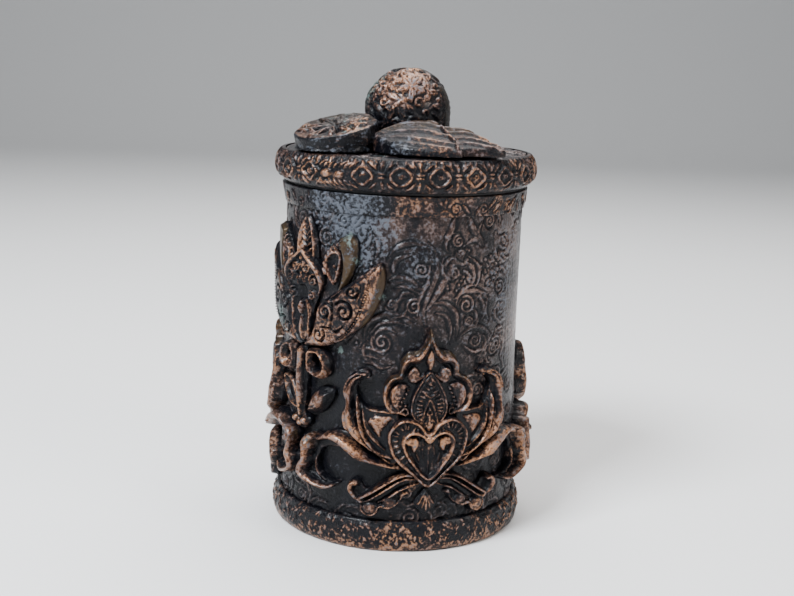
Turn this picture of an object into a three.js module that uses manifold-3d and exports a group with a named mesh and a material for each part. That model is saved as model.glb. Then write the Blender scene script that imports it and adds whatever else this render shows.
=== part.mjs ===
// A hand-made lidded jar: a straight glass jar wrapped in stamped clay, with moulded clay sprays laid
// round it, and a lift-off lid with a ring-pattern rim, a rosette, a folded wing and a ball knob.
// Millimetres, +Z up, the front faces -Y, and the origin is the middle of the underside.

import * as THREE from "three";
import { mergeVertices } from "three/addons/utils/BufferGeometryUtils.js";
import Module from "manifold-3d";

// The gap between neighbouring pieces and the number of flats round a turned piece.
const clearance = 0.3;
const turnedSides = 36;

// Glass jar
const glassRadius = 37;
const glassWall = 3;
const glassFloor = 5;
const glassLip = 1;
const jarTop = 117.2;

// Clay round the jar: the wall sheet, thicker towards its foot, and the bands laid on it
const baseThickness = 3;
const wallThickness = 3.1;
const wallFlare = 1.2;
const wallTaperHeight = 60;
const collarDrop = 6.4;
const collarLowThickness = 0.6;
const collarTopThickness = 1.3;
const footHeight = 10.4;
const footThickness = 2.4;
const footTopThickness = 1.1;
const footRound = 1.6;

// Lid
const lidOverhang = 0.6;
const lidCoreThickness = 8.5;
const plugGap = 0.8;
const plugDepth = 10;
const sealSection = 1.6;
const sealGroove = 1.4;
const sealHeight = 5;
const sealRibs = 3;
const lidSheet = 3;
const rimThickness = 3.7;
const rimLowThickness = 1.1;
const rimTopThickness = 1.7;
const rimDrop = 10.4;
const rimLift = 0.8;

// Rings stamped on the rim, from the joint of its strip round to the joint again
const rimRings = 22;
const rimJoint = 20;
const rimFirstRing = THREE.MathUtils.degToRad(-18);
const rimRelief = 0.8;
const rimSink = 0.25;
const ringSpanShare = 0.32;
const ringRiseShare = 0.33;
const ringSides = 8;

// Ball knob
const knobRadius = 14.9;
const knobSkin = 2.2;
const knobHeight = 12.4;
const knobSides = 20;
const knobSteps = 5;

// Flowers stamped on the ball, set on a spiral from its top down to the lowest flower
const knobRelief = 0.6;
const knobFlowers = 9;
const knobLowestShare = -0.45;
const knobFlowerTurn = THREE.MathUtils.degToRad(137.5);
const knobLeaves = 5;
const knobLeafLength = 5.4;
const knobLeafWidth = 2.9;
const knobLeafStart = 0.6;

// Rosette on the lid: a wedge and, on it, a petalled disc that rises towards the back
const rosetteRadius = 13.6;
const rosetteThickness = 4.2;
const rosetteBaseRadius = 13;
const rosetteBaseThickness = 4.6;
const rosetteInset = 11.9;
const rosetteBearing = THREE.MathUtils.degToRad(-53);
const rosetteTilt = THREE.MathUtils.degToRad(13);
const rosetteRiseBearing = THREE.MathUtils.degToRad(30);
const rosetteRound = 1.1;
const rosetteHollow = 0.8;
const rosetteBud = 2.6;
const rosettePetals = 10;
const rosettePetalDip = 0.5;

// Wing on the lid
const wingLength = 41;
const wingDepth = 24;
const wingCrest = 10.6;
const wingEdge = 2.2;
const wingLeft = -9.5;
const wingInset = 1.5;
const wingStep = 1.5;

// Distance from the wall at which the sprays are drawn flat, and the longest flat facet round it.
const drawingLift = 4.1;
const facetWidth = 7;

// Lotus sprays, three round the jar
const lotusCount = 3;
const lotusBearing = THREE.MathUtils.degToRad(13.1);
const lotusGap = 1.2;
const lotusHeight = 65;
const lotusFoot = 10.6;
const frameHeight = 4.6;
const frameFloor = 2.6;
const frameRim = 1.5;
const almondHeight = 4.4;
const heartHeight = 5.6;
const heartFloor = 4.4;
const heartRim = 1.1;
const sidePetalHeight = 6.8;
const scrollHeight = 7.4;
const lowerLeafHeight = 5.6;
const budHeight = 3.4;
const carvedShoulder = 0.9;
const carvedEdgeShare = 0.6;

// Tall blossom spray, one on the jar
const blossomBearing = THREE.MathUtils.degToRad(-48.4);
const blossomSpanShare = 0.696;
const blossomFootShare = 0.406;
const blossomGap = 1.8;
const broadPetalHeight = 4.4;
const broadPetalRim = 1.6;
const broadPetalFloor = 3.2;
const middlePetalHeight = 3.6;
const centrePetalHeight = 5;
const tallPetalHeight = 3;
const blossomBudHeight = 5.4;
const bowHeight = 5.8;
const stemHeight = 5.4;
const stemLeafHeight = 5;

// Outlines: shares of a spray's half span across and of its height upwards, right half only where
// the piece is symmetric.
const heartShares = [
  [0, 0.475], [0.06, 0.525], [0.155, 0.55], [0.23, 0.53], [0.29, 0.475],
  [0.285, 0.405], [0.235, 0.33], [0.125, 0.26], [0, 0.19],
];
const innerHeartShares = [
  [0, 0.43], [0.05, 0.465], [0.12, 0.475], [0.175, 0.44], [0.165, 0.385], [0.11, 0.32], [0, 0.24],
];
const frameShares = [
  [0, 1], [0.03, 0.94], [0.08, 0.89], [0.16, 0.88], [0.215, 0.83], [0.225, 0.77],
  [0.3, 0.745], [0.34, 0.69], [0.33, 0.62], [0.275, 0.57], [0.2, 0.56], [0, 0.5],
];
const almondShares = [
  [0, 0.79], [0.07, 0.735], [0.12, 0.67], [0.14, 0.61], [0.13, 0.56], [0.08, 0.51], [0, 0.46],
];
const sidePetalShares = [
  [0.22, 0.57], [0.37, 0.58], [0.46, 0.59], [0.52, 0.635], [0.535, 0.695], [0.485, 0.735],
  [0.435, 0.74], [0.445, 0.77], [0.52, 0.78], [0.595, 0.74], [0.63, 0.67], [0.6, 0.6],
  [0.635, 0.54], [0.62, 0.485], [0.56, 0.455], [0.47, 0.4], [0.37, 0.35], [0.22, 0.31],
];
const scrollShares = [
  [0.22, 0.3], [0.39, 0.335], [0.49, 0.39], [0.56, 0.44], [0.64, 0.455], [0.74, 0.445],
  [0.82, 0.405], [0.91, 0.41], [0.965, 0.37], [0.95, 0.3], [1, 0.25], [0.99, 0.2],
  [0.93, 0.165], [0.79, 0.13], [0.71, 0.14], [0.65, 0.175], [0.75, 0.18], [0.82, 0.215],
  [0.845, 0.27], [0.82, 0.325], [0.75, 0.355], [0.64, 0.36], [0.51, 0.325], [0.22, 0.275],
];
const lowerLeafShares = [
  [0.1, 0.255], [0.22, 0.25], [0.31, 0.215], [0.4, 0.17], [0.45, 0.165], [0.5, 0.205],
  [0.56, 0.205], [0.575, 0.165], [0.53, 0.115], [0.49, 0.095], [0.485, 0.05], [0.42, 0.02],
  [0.355, 0.035], [0.33, 0.07], [0.27, 0.065], [0.2, 0.095], [0.16, 0.14], [0.1, 0.155], [0.04, 0.2],
];
const lotusBudShares = [
  [0, 0.175], [0.04, 0.15], [0.085, 0.11], [0.075, 0.08], [0.04, 0.055], [0, 0.035],
];
const broadPetalShares = [
  [0.02, 0.4], [0.17, 0.405], [0.35, 0.42], [0.57, 0.465], [0.75, 0.52], [0.88, 0.59],
  [0.97, 0.68], [1, 0.75], [0.96, 0.82], [0.82, 0.79], [0.65, 0.73],
  [0.49, 0.685], [0.33, 0.635], [0.22, 0.59], [0.19, 0.54], [0.14, 0.47], [0.06, 0.425],
];
const middlePetalShares = [
  [0.1, 0.5], [0.2, 0.6], [0.26, 0.7], [0.26, 0.79], [0.32, 0.85], [0.43, 0.9], [0.55, 0.93],
  [0.65, 0.93], [0.69, 0.885], [0.68, 0.82], [0.63, 0.75], [0.5, 0.66], [0.3, 0.55],
];
const centrePetalShares = [
  [0, 0.85], [0.11, 0.825], [0.22, 0.795], [0.3, 0.75], [0.31, 0.705], [0.25, 0.65],
  [0.17, 0.58], [0.15, 0.5], [0.1, 0.44], [0, 0.41],
];
const tallPetalShares = [
  [0, 1], [0.08, 0.97], [0.15, 0.9], [0.18, 0.83], [0.15, 0.76], [0, 0.74],
];
const blossomBudShares = [
  [0, 0.62], [0.045, 0.6], [0.06, 0.55], [0.06, 0.47], [0.035, 0.43], [0, 0.415],
];
const bowShares = [
  [0.1, 0.385], [0.2, 0.4], [0.31, 0.395], [0.385, 0.365], [0.41, 0.325], [0.385, 0.285],
  [0.3, 0.26], [0.2, 0.265], [0.1, 0.295],
];
const bowHoleShares = [
  [0.175, 0.36], [0.165, 0.33], [0.2, 0.3], [0.28, 0.3], [0.315, 0.33], [0.27, 0.362], [0.22, 0.37],
];
const stemShares = [
  [0, 0.39], [0.06, 0.39], [0.055, 0.14], [0.04, 0.115], [0.05, 0.075], [0.14, 0.06],
  [0.13, 0.03], [0.05, 0.005], [0, 0],
];
const stemLeafShares = [
  [0.08, 0.085], [0.24, 0.09], [0.38, 0.135], [0.46, 0.215], [0.28, 0.225], [0.14, 0.175], [0.08, 0.115],
];

// Wing outlines in plan: shares of its length to the right and of its depth away from the front.
const wingFrontShares = [
  [0, 0.74], [0.06, 0.86], [0.16, 0.95], [0.3, 1], [0.42, 0.94], [0.5, 0.8], [0.545, 0.66],
  [0.535, 0.63], [0.585, 0.48], [0.575, 0.45], [0.625, 0.28], [0.61, 0.25], [0.655, 0.04],
  [0.56, 0], [0.36, 0.02], [0.2, 0.1], [0.09, 0.3], [0.01, 0.58],
];
const wingBackShares = [
  [0.3, 0.98], [0.5, 1], [0.66, 0.93], [0.76, 0.86], [0.75, 0.83], [0.87, 0.74], [0.86, 0.7],
  [0.96, 0.56], [0.945, 0.53], [1, 0.36], [0.9, 0.26], [0.72, 0.2], [0.6, 0.2], [0.4, 0.5],
];

// One ring of the rim in section, from its boss out: shares of its reach and of its relief.
const ringShares = [[0, 1], [0.42, 0.45], [0.76, 1], [1, 0]];

// Height of the wing's ridge along its length: shares of the length and of the crest.
const wingRidgeShares = [
  [0, 0.42], [0.18, 0.84], [0.38, 1], [0.54, 0.86], [0.73, 0.6], [0.85, 0.3], [1, 0.08],
];

// Paint: near-black clay rubbed with copper, clear glass, pale wood and silicone.
const blackClay = { color: 0x2b2526, roughness: 0.45, metalness: 0.25 };
const copperClay = { color: 0x8a5a40, roughness: 0.4, metalness: 0.5 };
const clearGlass = { color: 0xcfd8d4, roughness: 0.08, metalness: 0 };
const lidWood = { color: 0xb08a5c, roughness: 0.6, metalness: 0 };
const sealRubber = { color: 0xd9d6cf, roughness: 0.55, metalness: 0 };

// Radii and heights that follow from the sizes above
const wallRadius = glassRadius + clearance + wallThickness;
const wallFootRadius = wallRadius + wallFlare;
const drawingRadius = wallRadius + drawingLift;
const lotusHalfSpan = (Math.PI * drawingRadius) / lotusCount - lotusGap / 2;
const blossomHalfSpan = lotusHalfSpan * blossomSpanShare;
const blossomFoot = lotusFoot + lotusHeight * blossomFootShare;
const blossomHeight = jarTop - collarDrop - blossomGap - blossomFoot;
const lidCoreRadius = wallRadius + lidOverhang;
const plugRadius = glassRadius - glassWall - plugGap;
const lidSeat = jarTop + clearance;
const lidCoreTop = lidSeat + lidCoreThickness;
const lidTop = lidCoreTop + clearance + lidSheet;
const rimLow = lidSeat + rimLift;

const wasm = await Module();
wasm.setup();

const jar = new THREE.Group();

// The wall leans in from its foot up to the taper height, then stands straight.
function wallRadiusAt(z) {
  const share = Math.min(1, Math.max(0, z / wallTaperHeight));
  return wallFootRadius + (wallRadius - wallFootRadius) * share;
}

// One named piece of the jar.
function addPiece(name, geometry, paint) {
  const piece = new THREE.Mesh(geometry, new THREE.MeshStandardMaterial(paint));
  piece.name = name;
  jar.add(piece);
  return piece;
}

// A turned piece about the Z axis from a profile of [radius, height] points.
function turned(profile, sides = turnedSides) {
  const geometry = new THREE.LatheGeometry(profile.map(([r, z]) => new THREE.Vector2(r, z)), sides);
  geometry.rotateX(Math.PI / 2);
  return bare(geometry);
}

// Points of a vertical arc about a centre on the axis, from one angle to another.
function arcProfile(radius, centre, from, to, steps) {
  return Array.from({ length: steps + 1 }, (_, i) => {
    const angle = from + ((to - from) * i) / steps;
    return [Math.max(0, radius * Math.cos(angle)), centre + radius * Math.sin(angle)];
  });
}

// A geometry with merged positions and nothing else.
function bare(geometry) {
  const plain = geometry.index ? geometry.toNonIndexed() : geometry;
  const positions = new THREE.BufferGeometry();
  positions.setAttribute("position", plain.getAttribute("position"));
  const merged = mergeVertices(positions, clearance / 1000);
  merged.computeVertexNormals();
  return merged;
}

// A geometry as a solid that can be joined or cut, and back.
function solid(geometry) {
  const plain = bare(geometry);
  return new wasm.Manifold(
    new wasm.Mesh({
      numProp: 3,
      vertProperties: plain.getAttribute("position").array,
      triVerts: new Uint32Array(plain.index.array),
    }),
  );
}

function geometryOf(made) {
  const mesh = made.getMesh();
  const geometry = new THREE.BufferGeometry();
  geometry.setAttribute("position", new THREE.BufferAttribute(mesh.vertProperties, mesh.numProp));
  geometry.setIndex(new THREE.BufferAttribute(mesh.triVerts, 1));
  return geometry;
}

// Share tables become points of a spray; the right half of a symmetric outline gets its left half.
function scaled(shares, across, up, sign = 1) {
  const points = shares.map(([x, y]) => new THREE.Vector2(sign * x * across, y * up));
  return THREE.ShapeUtils.isClockWise(points) ? points.reverse() : points;
}

function symmetric(shares, across, up) {
  const left = shares.slice(1, -1).reverse().map(([x, y]) => [-x, y]);
  return scaled([...shares, ...left], across, up);
}

// How far the material reaches from a corner of an outline along a direction.
function roomAlong(points, corner, direction) {
  const rooms = points.map((a, i) => {
    const b = points[(i + 1) % points.length];
    const side = b.clone().sub(a);
    const across = direction.cross(side);
    if (a === points[corner] || b === points[corner] || across === 0) return Infinity;
    const away = a.clone().sub(points[corner]);
    const reach = away.cross(side) / across;
    const share = away.cross(direction) / across;
    return reach > 0 && share >= 0 && share <= 1 ? reach : Infinity;
  });
  return Math.min(...rooms);
}

// The first corners of the sides of an outline that cross another side of it.
function crossedSides(points) {
  const ends = (i) => [points[i], points[(i + 1) % points.length]];
  const turn = (a, b, c) => Math.sign(b.clone().sub(a).cross(c.clone().sub(a)));
  const cross = ([a, b], [c, d]) => turn(a, b, c) !== turn(a, b, d) && turn(c, d, a) !== turn(c, d, b);
  const apart = (i, j) => i !== j && (i + 1) % points.length !== j && (j + 1) % points.length !== i;
  return points.map((_, i) => i)
    .filter((i) => points.some((_, j) => apart(i, j) && cross(ends(i), ends(j))));
}

// An outline moved into its material by a distance, less where it is narrow or would cross itself;
// a negative distance moves it out.
function inset(points, distance) {
  const sharpestShare = 0.6;
  const narrowShare = 0.25;
  const tries = 8;
  const moves = points.map((point, i) => {
    const before = points.at(i - 1);
    const after = points[(i + 1) % points.length];
    const first = new THREE.Vector2(before.y - point.y, point.x - before.x).normalize();
    const second = new THREE.Vector2(point.y - after.y, after.x - point.x).normalize();
    const normal = first.clone().add(second).normalize();
    const wanted = distance / Math.max(sharpestShare, normal.dot(first));
    const reach = distance > 0 ? Math.min(wanted, narrowShare * roomAlong(points, i, normal)) : wanted;
    return normal.multiplyScalar(reach);
  });
  const moved = () => points.map((point, i) => point.clone().add(moves[i]));
  for (let k = 0; k < tries; k++)
    for (const i of crossedSides(moved())) {
      moves[i].multiplyScalar(0.5);
      moves[(i + 1) % points.length].multiplyScalar(0.5);
    }
  return moved();
}

// A carved plate: its outline steps inwards and upwards by the given [inset, height] steps, and the
// last step is capped. Holes take the same steps.
function carved(outline, steps, holes = []) {
  const rings = [outline, ...holes.map((hole) => [...hole].reverse())];
  const levels = steps.map(([distance, height]) => ({
    height,
    rings: rings.map((ring) => (distance === 0 ? ring : inset(ring, distance))),
  }));
  const corners = [];
  const corner = (point, height) => corners.push(point.x, point.y, height);
  const cap = ({ height, rings: [rim, ...inner] }, up) => {
    const points = [rim, ...inner].flat();
    for (const [a, b, c] of THREE.ShapeUtils.triangulateShape([...rim], inner))
      for (const i of up ? [a, b, c] : [a, c, b]) corner(points[i], height);
  };
  cap(levels[0], false);
  for (let k = 1; k < levels.length; k++) {
    const low = levels[k - 1];
    const high = levels[k];
    low.rings.forEach((ring, r) =>
      ring.forEach((_, i) => {
        const j = (i + 1) % ring.length;
        corner(ring[i], low.height);
        corner(ring[j], low.height);
        corner(high.rings[r][j], high.height);
        corner(ring[i], low.height);
        corner(high.rings[r][j], high.height);
        corner(high.rings[r][i], high.height);
      }),
    );
  }
  cap(levels.at(-1), true);
  const geometry = new THREE.BufferGeometry();
  geometry.setAttribute("position", new THREE.Float32BufferAttribute(corners, 3));
  return geometry;
}

// Steps of a plain leaf: an upright edge, a sloping shoulder and a flat crown.
function leafSteps(height) {
  return [[0, 0], [0, height * carvedEdgeShare], [carvedShoulder, height]];
}

// Steps of a leaf with a raised rim round a sunk floor.
function rimSteps(height, rim, floor) {
  const fall = carvedShoulder / 2;
  return [[0, 0], [0, height * carvedEdgeShare], [fall, height], [fall + rim, height],
    [rim + carvedShoulder, floor]];
}

// Cuts from a flat piece whatever lies within the running gap of the pieces in front of it.
function trimmed(geometry, outlines) {
  const tall = scrollHeight + drawingRadius;
  const cut = outlines.reduce((left, outline) => {
    const knife = carved(inset(outline, -clearance), [[0, 0], [0, tall]]).translate(0, 0, -tall / 2);
    return left.subtract(solid(knife));
  }, solid(geometry));
  return geometryOf(cut);
}

// Splits triangles until none spans more than a step across, so that a flat piece can be bent.
function splitAcross(geometry, step) {
  const plain = geometry.index ? geometry.toNonIndexed() : geometry;
  const position = plain.getAttribute("position");
  const at = (i) => new THREE.Vector3().fromBufferAttribute(position, i);
  const corners = [];
  const split = (a, b, c) => {
    const spans = [Math.abs(a.x - b.x), Math.abs(b.x - c.x), Math.abs(c.x - a.x)];
    const widest = Math.max(...spans);
    if (widest <= step) return corners.push(...a, ...b, ...c);
    if (spans[0] < widest) return spans[1] === widest ? split(b, c, a) : split(c, a, b);
    const middle = a.clone().lerp(b, 0.5);
    split(a, middle, c);
    return split(middle, b, c);
  };
  for (let i = 0; i < position.count; i += 3) split(at(i), at(i + 1), at(i + 2));
  const fine = new THREE.BufferGeometry();
  fine.setAttribute("position", new THREE.Float32BufferAttribute(corners, 3));
  return fine;
}

// Bends a flat piece round the wall at a bearing, its foot at a height.
function wrapped(geometry, bearing, foot) {
  const fine = splitAcross(geometry, facetWidth);
  const position = fine.getAttribute("position");
  for (let i = 0; i < position.count; i++) {
    const angle = bearing + position.getX(i) / drawingRadius;
    const z = foot + position.getY(i);
    const radius = wallRadiusAt(z) + clearance + position.getZ(i);
    position.setXYZ(i, radius * Math.sin(angle), -radius * Math.cos(angle), z);
  }
  return bare(fine);
}

// Jar

function addGlass() {
  const floor = baseThickness + clearance;
  addPiece("glass_jar", turned([
    [0, floor], [glassRadius - glassLip, floor], [glassRadius, floor + glassLip],
    [glassRadius, jarTop - glassLip], [glassRadius - glassLip, jarTop],
    [glassRadius - glassWall, jarTop - glassLip], [glassRadius - glassWall, floor + glassFloor + glassLip],
    [glassRadius - glassWall - glassLip, floor + glassFloor], [0, floor + glassFloor],
  ]), clearGlass);
}

function addClayWraps() {
  const inside = glassRadius + clearance;
  addPiece("base_clay", turned([
    [0, 0], [inside - clearance, 0], [inside - clearance, baseThickness], [0, baseThickness],
  ]), blackClay);
  addPiece("wall_clay", turned([
    [inside, 0], [wallFootRadius, 0], [wallRadius, wallTaperHeight], [wallRadius, jarTop],
    [inside, jarTop], [inside, 0],
  ]), blackClay);
  const collarInside = wallRadius + clearance;
  const collarFoot = jarTop - collarDrop;
  const collarMiddle = collarInside + (collarLowThickness + collarTopThickness) / 2;
  addPiece("collar_band", turned([
    [collarInside, collarFoot], [collarInside + collarLowThickness, collarFoot],
    [collarMiddle, jarTop - collarDrop / 2], [collarInside + collarTopThickness, jarTop],
    [collarInside, jarTop], [collarInside, collarFoot],
  ]), blackClay);
  const footInside = wallFootRadius + clearance;
  const footRadius = footInside + footThickness;
  const footTopRadius = footInside + footTopThickness;
  addPiece("foot_band", turned([
    [footInside, 0], [footRadius - footRound / 2, 0], [footRadius, footRound],
    [footRadius, footHeight / 2], [footTopRadius, footHeight - footRound / 2],
    [footTopRadius - footRound / 2, footHeight], [footInside, footHeight], [footInside, 0],
  ]), blackClay);
}

// Lotus spray: the heart lies in front, the frame, petals and leaves meet it with the running gap.
function addLotus(name, bearing) {
  const across = lotusHalfSpan;
  const up = lotusHeight;
  const place = (part, geometry) =>
    addPiece(`${name}_${part}`, wrapped(geometry, bearing, lotusFoot), copperClay);
  const heart = symmetric(heartShares, across, up);
  const innerHeart = symmetric(innerHeartShares, across, up);
  const frame = symmetric(frameShares, across, up);
  const almond = symmetric(almondShares, across, up);
  const raised = carved(innerHeart, leafSteps(heartHeight - heartFloor / 2)).translate(0, 0, heartFloor / 2);
  place("heart", geometryOf(
    solid(carved(heart, rimSteps(heartHeight, heartRim, heartFloor))).add(solid(raised))));
  place("frame", trimmed(carved(frame, rimSteps(frameHeight, frameRim, frameFloor)), [heart, almond]));
  place("almond", trimmed(carved(almond, leafSteps(almondHeight)), [heart]));
  place("bud", carved(symmetric(lotusBudShares, across, up), leafSteps(budHeight)));
  for (const [side, sign] of [["left", -1], ["right", 1]]) {
    const sidePetal = scaled(sidePetalShares, across, up, sign);
    const scroll = scaled(scrollShares, across, up, sign);
    const lowerLeaf = scaled(lowerLeafShares, across, up, sign);
    place(`side_petal_${side}`, trimmed(carved(sidePetal, leafSteps(sidePetalHeight)), [heart, frame]));
    place(`scroll_leaf_${side}`, trimmed(carved(scroll, leafSteps(scrollHeight)), [heart, sidePetal]));
    place(`lower_leaf_${side}`, trimmed(carved(lowerLeaf, leafSteps(lowerLeafHeight)), [heart]));
  }
}

// Blossom spray: petals in front cut the ones behind, and a bow, stem and leaves hang below.
function addBlossom(name, bearing) {
  const across = blossomHalfSpan;
  const up = blossomHeight;
  const place = (part, geometry) =>
    addPiece(`${name}_${part}`, wrapped(geometry, bearing, blossomFoot), copperClay);
  const bud = symmetric(blossomBudShares, across, up);
  const centre = symmetric(centrePetalShares, across, up);
  const broad = [-1, 1].map((sign) => scaled(broadPetalShares, across, up, sign));
  const middle = [-1, 1].map((sign) => scaled(middlePetalShares, across, up, sign));
  const stem = symmetric(stemShares, across, up);
  place("bud", carved(bud, leafSteps(blossomBudHeight)));
  place("centre_petal", trimmed(
    carved(centre, rimSteps(centrePetalHeight, broadPetalRim, broadPetalFloor)), [bud, ...broad]));
  place("tall_petal", trimmed(
    carved(symmetric(tallPetalShares, across, up), leafSteps(tallPetalHeight)), [centre, ...middle]));
  place("stem", carved(stem, leafSteps(stemHeight)));
  [["left", -1], ["right", 1]].forEach(([side, sign], i) => {
    place(`broad_petal_${side}`,
      trimmed(carved(broad[i], rimSteps(broadPetalHeight, broadPetalRim, broadPetalFloor)), [bud]));
    place(`middle_petal_${side}`,
      trimmed(carved(middle[i], leafSteps(middlePetalHeight)), [centre, broad[i]]));
    const hole = scaled(bowHoleShares, across, up, sign);
    place(`bow_loop_${side}`,
      carved(scaled(bowShares, across, up, sign), leafSteps(bowHeight), [hole]));
    place(`stem_leaf_${side}`,
      trimmed(carved(scaled(stemLeafShares, across, up, sign), leafSteps(stemLeafHeight)), [stem]));
  });
}

// Lid

function addLidBody() {
  const groove = plugRadius - sealGroove;
  const plugFoot = lidSeat - plugDepth;
  const grooveFoot = plugFoot + (plugDepth - sealHeight) / 2 - clearance;
  const grooveTop = grooveFoot + sealHeight + 2 * clearance;
  addPiece("lid_core", turned([
    [0, plugFoot], [plugRadius, plugFoot], [plugRadius, grooveFoot], [groove, grooveFoot],
    [groove, grooveTop], [plugRadius, grooveTop], [plugRadius, lidSeat], [lidCoreRadius, lidSeat],
    [lidCoreRadius, lidCoreTop], [0, lidCoreTop],
  ]), lidWood);
  const sealInside = groove + clearance;
  const sealFoot = grooveFoot + clearance;
  const rib = sealHeight / sealRibs;
  const ribs = Array.from({ length: sealRibs }, (_, i) => [
    [sealInside + sealSection / 2, sealFoot + rib * i],
    [sealInside + sealSection, sealFoot + rib * (i + 0.5)],
  ]).flat();
  addPiece("lid_seal", turned([
    [sealInside, sealFoot], ...ribs, [sealInside + sealSection / 2, sealFoot + sealHeight],
    [sealInside, sealFoot + sealHeight], [sealInside, sealFoot],
  ]), sealRubber);
  addPiece("lid_sheet", turned([
    [0, lidCoreTop + clearance], [lidCoreRadius, lidCoreTop + clearance],
    [lidCoreRadius, lidTop], [0, lidTop],
  ]), blackClay);
}

// The rim's cross-section, and the outer radius that it gives at a height between its foot and top.
function rimProfile() {
  const inside = lidCoreRadius + clearance;
  const outside = inside + rimThickness - rimRelief;
  const low = inside + rimLowThickness;
  const top = inside + rimTopThickness;
  const middle = rimLow + rimDrop / 2;
  const shoulder = rimDrop / 6;
  return [
    [inside, rimLow], [low, rimLow], [(low + outside) / 2, rimLow + shoulder],
    [outside, middle - shoulder / 2], [outside, middle + shoulder / 2],
    [(top + outside) / 2, rimLow + rimDrop - shoulder], [top, rimLow + rimDrop],
    [inside, rimLow + rimDrop], [inside, rimLow],
  ];
}

function rimRadiusAt(z) {
  const outer = rimProfile().slice(1, -2);
  const above = outer.findIndex(([, height]) => height >= z);
  const [[lowRadius, low], [highRadius, high]] = outer.slice(Math.max(above, 1) - 1);
  return lowRadius + ((highRadius - lowRadius) * (z - low)) / (high - low);
}

// Bends a small flat solid onto the rim, its middle at a bearing and halfway up.
function ontoRim(geometry, bearing) {
  const position = geometry.getAttribute("position");
  for (let i = 0; i < position.count; i++) {
    const z = rimLow + rimDrop / 2 + position.getY(i);
    const radius = rimRadiusAt(z) - rimSink + position.getZ(i);
    const angle = bearing + position.getX(i) / rimRadiusAt(rimLow + rimDrop / 2);
    position.setXYZ(i, radius * Math.sin(angle), -radius * Math.cos(angle), z);
  }
  return solid(geometry);
}

function addRim() {
  const around = rimRadiusAt(rimLow + rimDrop / 2);
  const pitch = (2 * Math.PI * around - rimJoint) / (rimRings - 1);
  const depth = rimRelief + rimSink;
  const stamps = Array.from({ length: rimRings }, (_, i) => {
    const bearing = rimFirstRing + (pitch * i) / around;
    const ring = turned([[0, 0], ...[...ringShares].reverse()], ringSides)
      .scale(pitch * ringSpanShare, rimDrop * ringRiseShare, depth);
    return ontoRim(ring, bearing);
  });
  const rim = wasm.Manifold.union([solid(turned(rimProfile())), ...stamps]);
  addPiece("rim_band", geometryOf(rim), copperClay);
}

// Leaves of one flower on the ball: each lies on the surface and points away from the flower's middle.
function knobFlower(middle, spin, radius) {
  const side = new THREE.Vector3(0, 1, 0).cross(middle).normalize();
  const up = middle.clone().cross(side);
  return Array.from({ length: knobLeaves }, (_, i) => {
    const turn = spin + (2 * Math.PI * i) / knobLeaves;
    const out = side.clone().multiplyScalar(Math.cos(turn)).addScaledVector(up, Math.sin(turn));
    const away = (knobLeafStart + knobLeafLength / 2) / radius;
    const normal = middle.clone().multiplyScalar(Math.cos(away)).addScaledVector(out, Math.sin(away));
    const along = out.multiplyScalar(Math.cos(away)).addScaledVector(middle, -Math.sin(away));
    const across = normal.clone().cross(along);
    const place = new THREE.Matrix4().makeBasis(
      along.multiplyScalar(knobLeafLength / 2), across.multiplyScalar(knobLeafWidth / 2),
      normal.clone().multiplyScalar(knobRelief));
    place.setPosition(normal.multiplyScalar(radius));
    return solid(new THREE.OctahedronGeometry(1).applyMatrix4(place));
  });
}

function addKnob() {
  const centre = lidTop + knobHeight;
  const coreRadius = knobRadius - knobSkin - clearance;
  const ground = knobRadius - knobRelief;
  const seat = lidTop + clearance;
  const foot = (radius) => Math.asin((seat - centre) / radius);
  const ball = (radius, steps) => arcProfile(radius, centre, foot(radius), Math.PI / 2, steps);
  addPiece("knob_core", turned([[0, seat], ...ball(coreRadius, knobSteps)], knobSides), lidWood);
  const hollow = ball(knobRadius - knobSkin, knobSteps).reverse();
  const leaves = Array.from({ length: knobFlowers }, (_, i) => {
    const height = 1 - ((1 - knobLowestShare) * (i + 0.5)) / knobFlowers;
    const level = Math.sqrt(1 - height * height);
    const turn = knobFlowerTurn * i;
    const middle = new THREE.Vector3(level * Math.cos(turn), level * Math.sin(turn), height);
    return knobFlower(middle, turn, ground);
  });
  const skin = solid(turned([...hollow, ...ball(ground, knobSteps + 2)], knobSides));
  const raised = leaves.flat().map((leaf) => leaf.translate([0, 0, centre]));
  const stamped = wasm.Manifold.union([skin, ...raised]);
  addPiece("knob_skin", geometryOf(stamped), copperClay);
}

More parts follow.
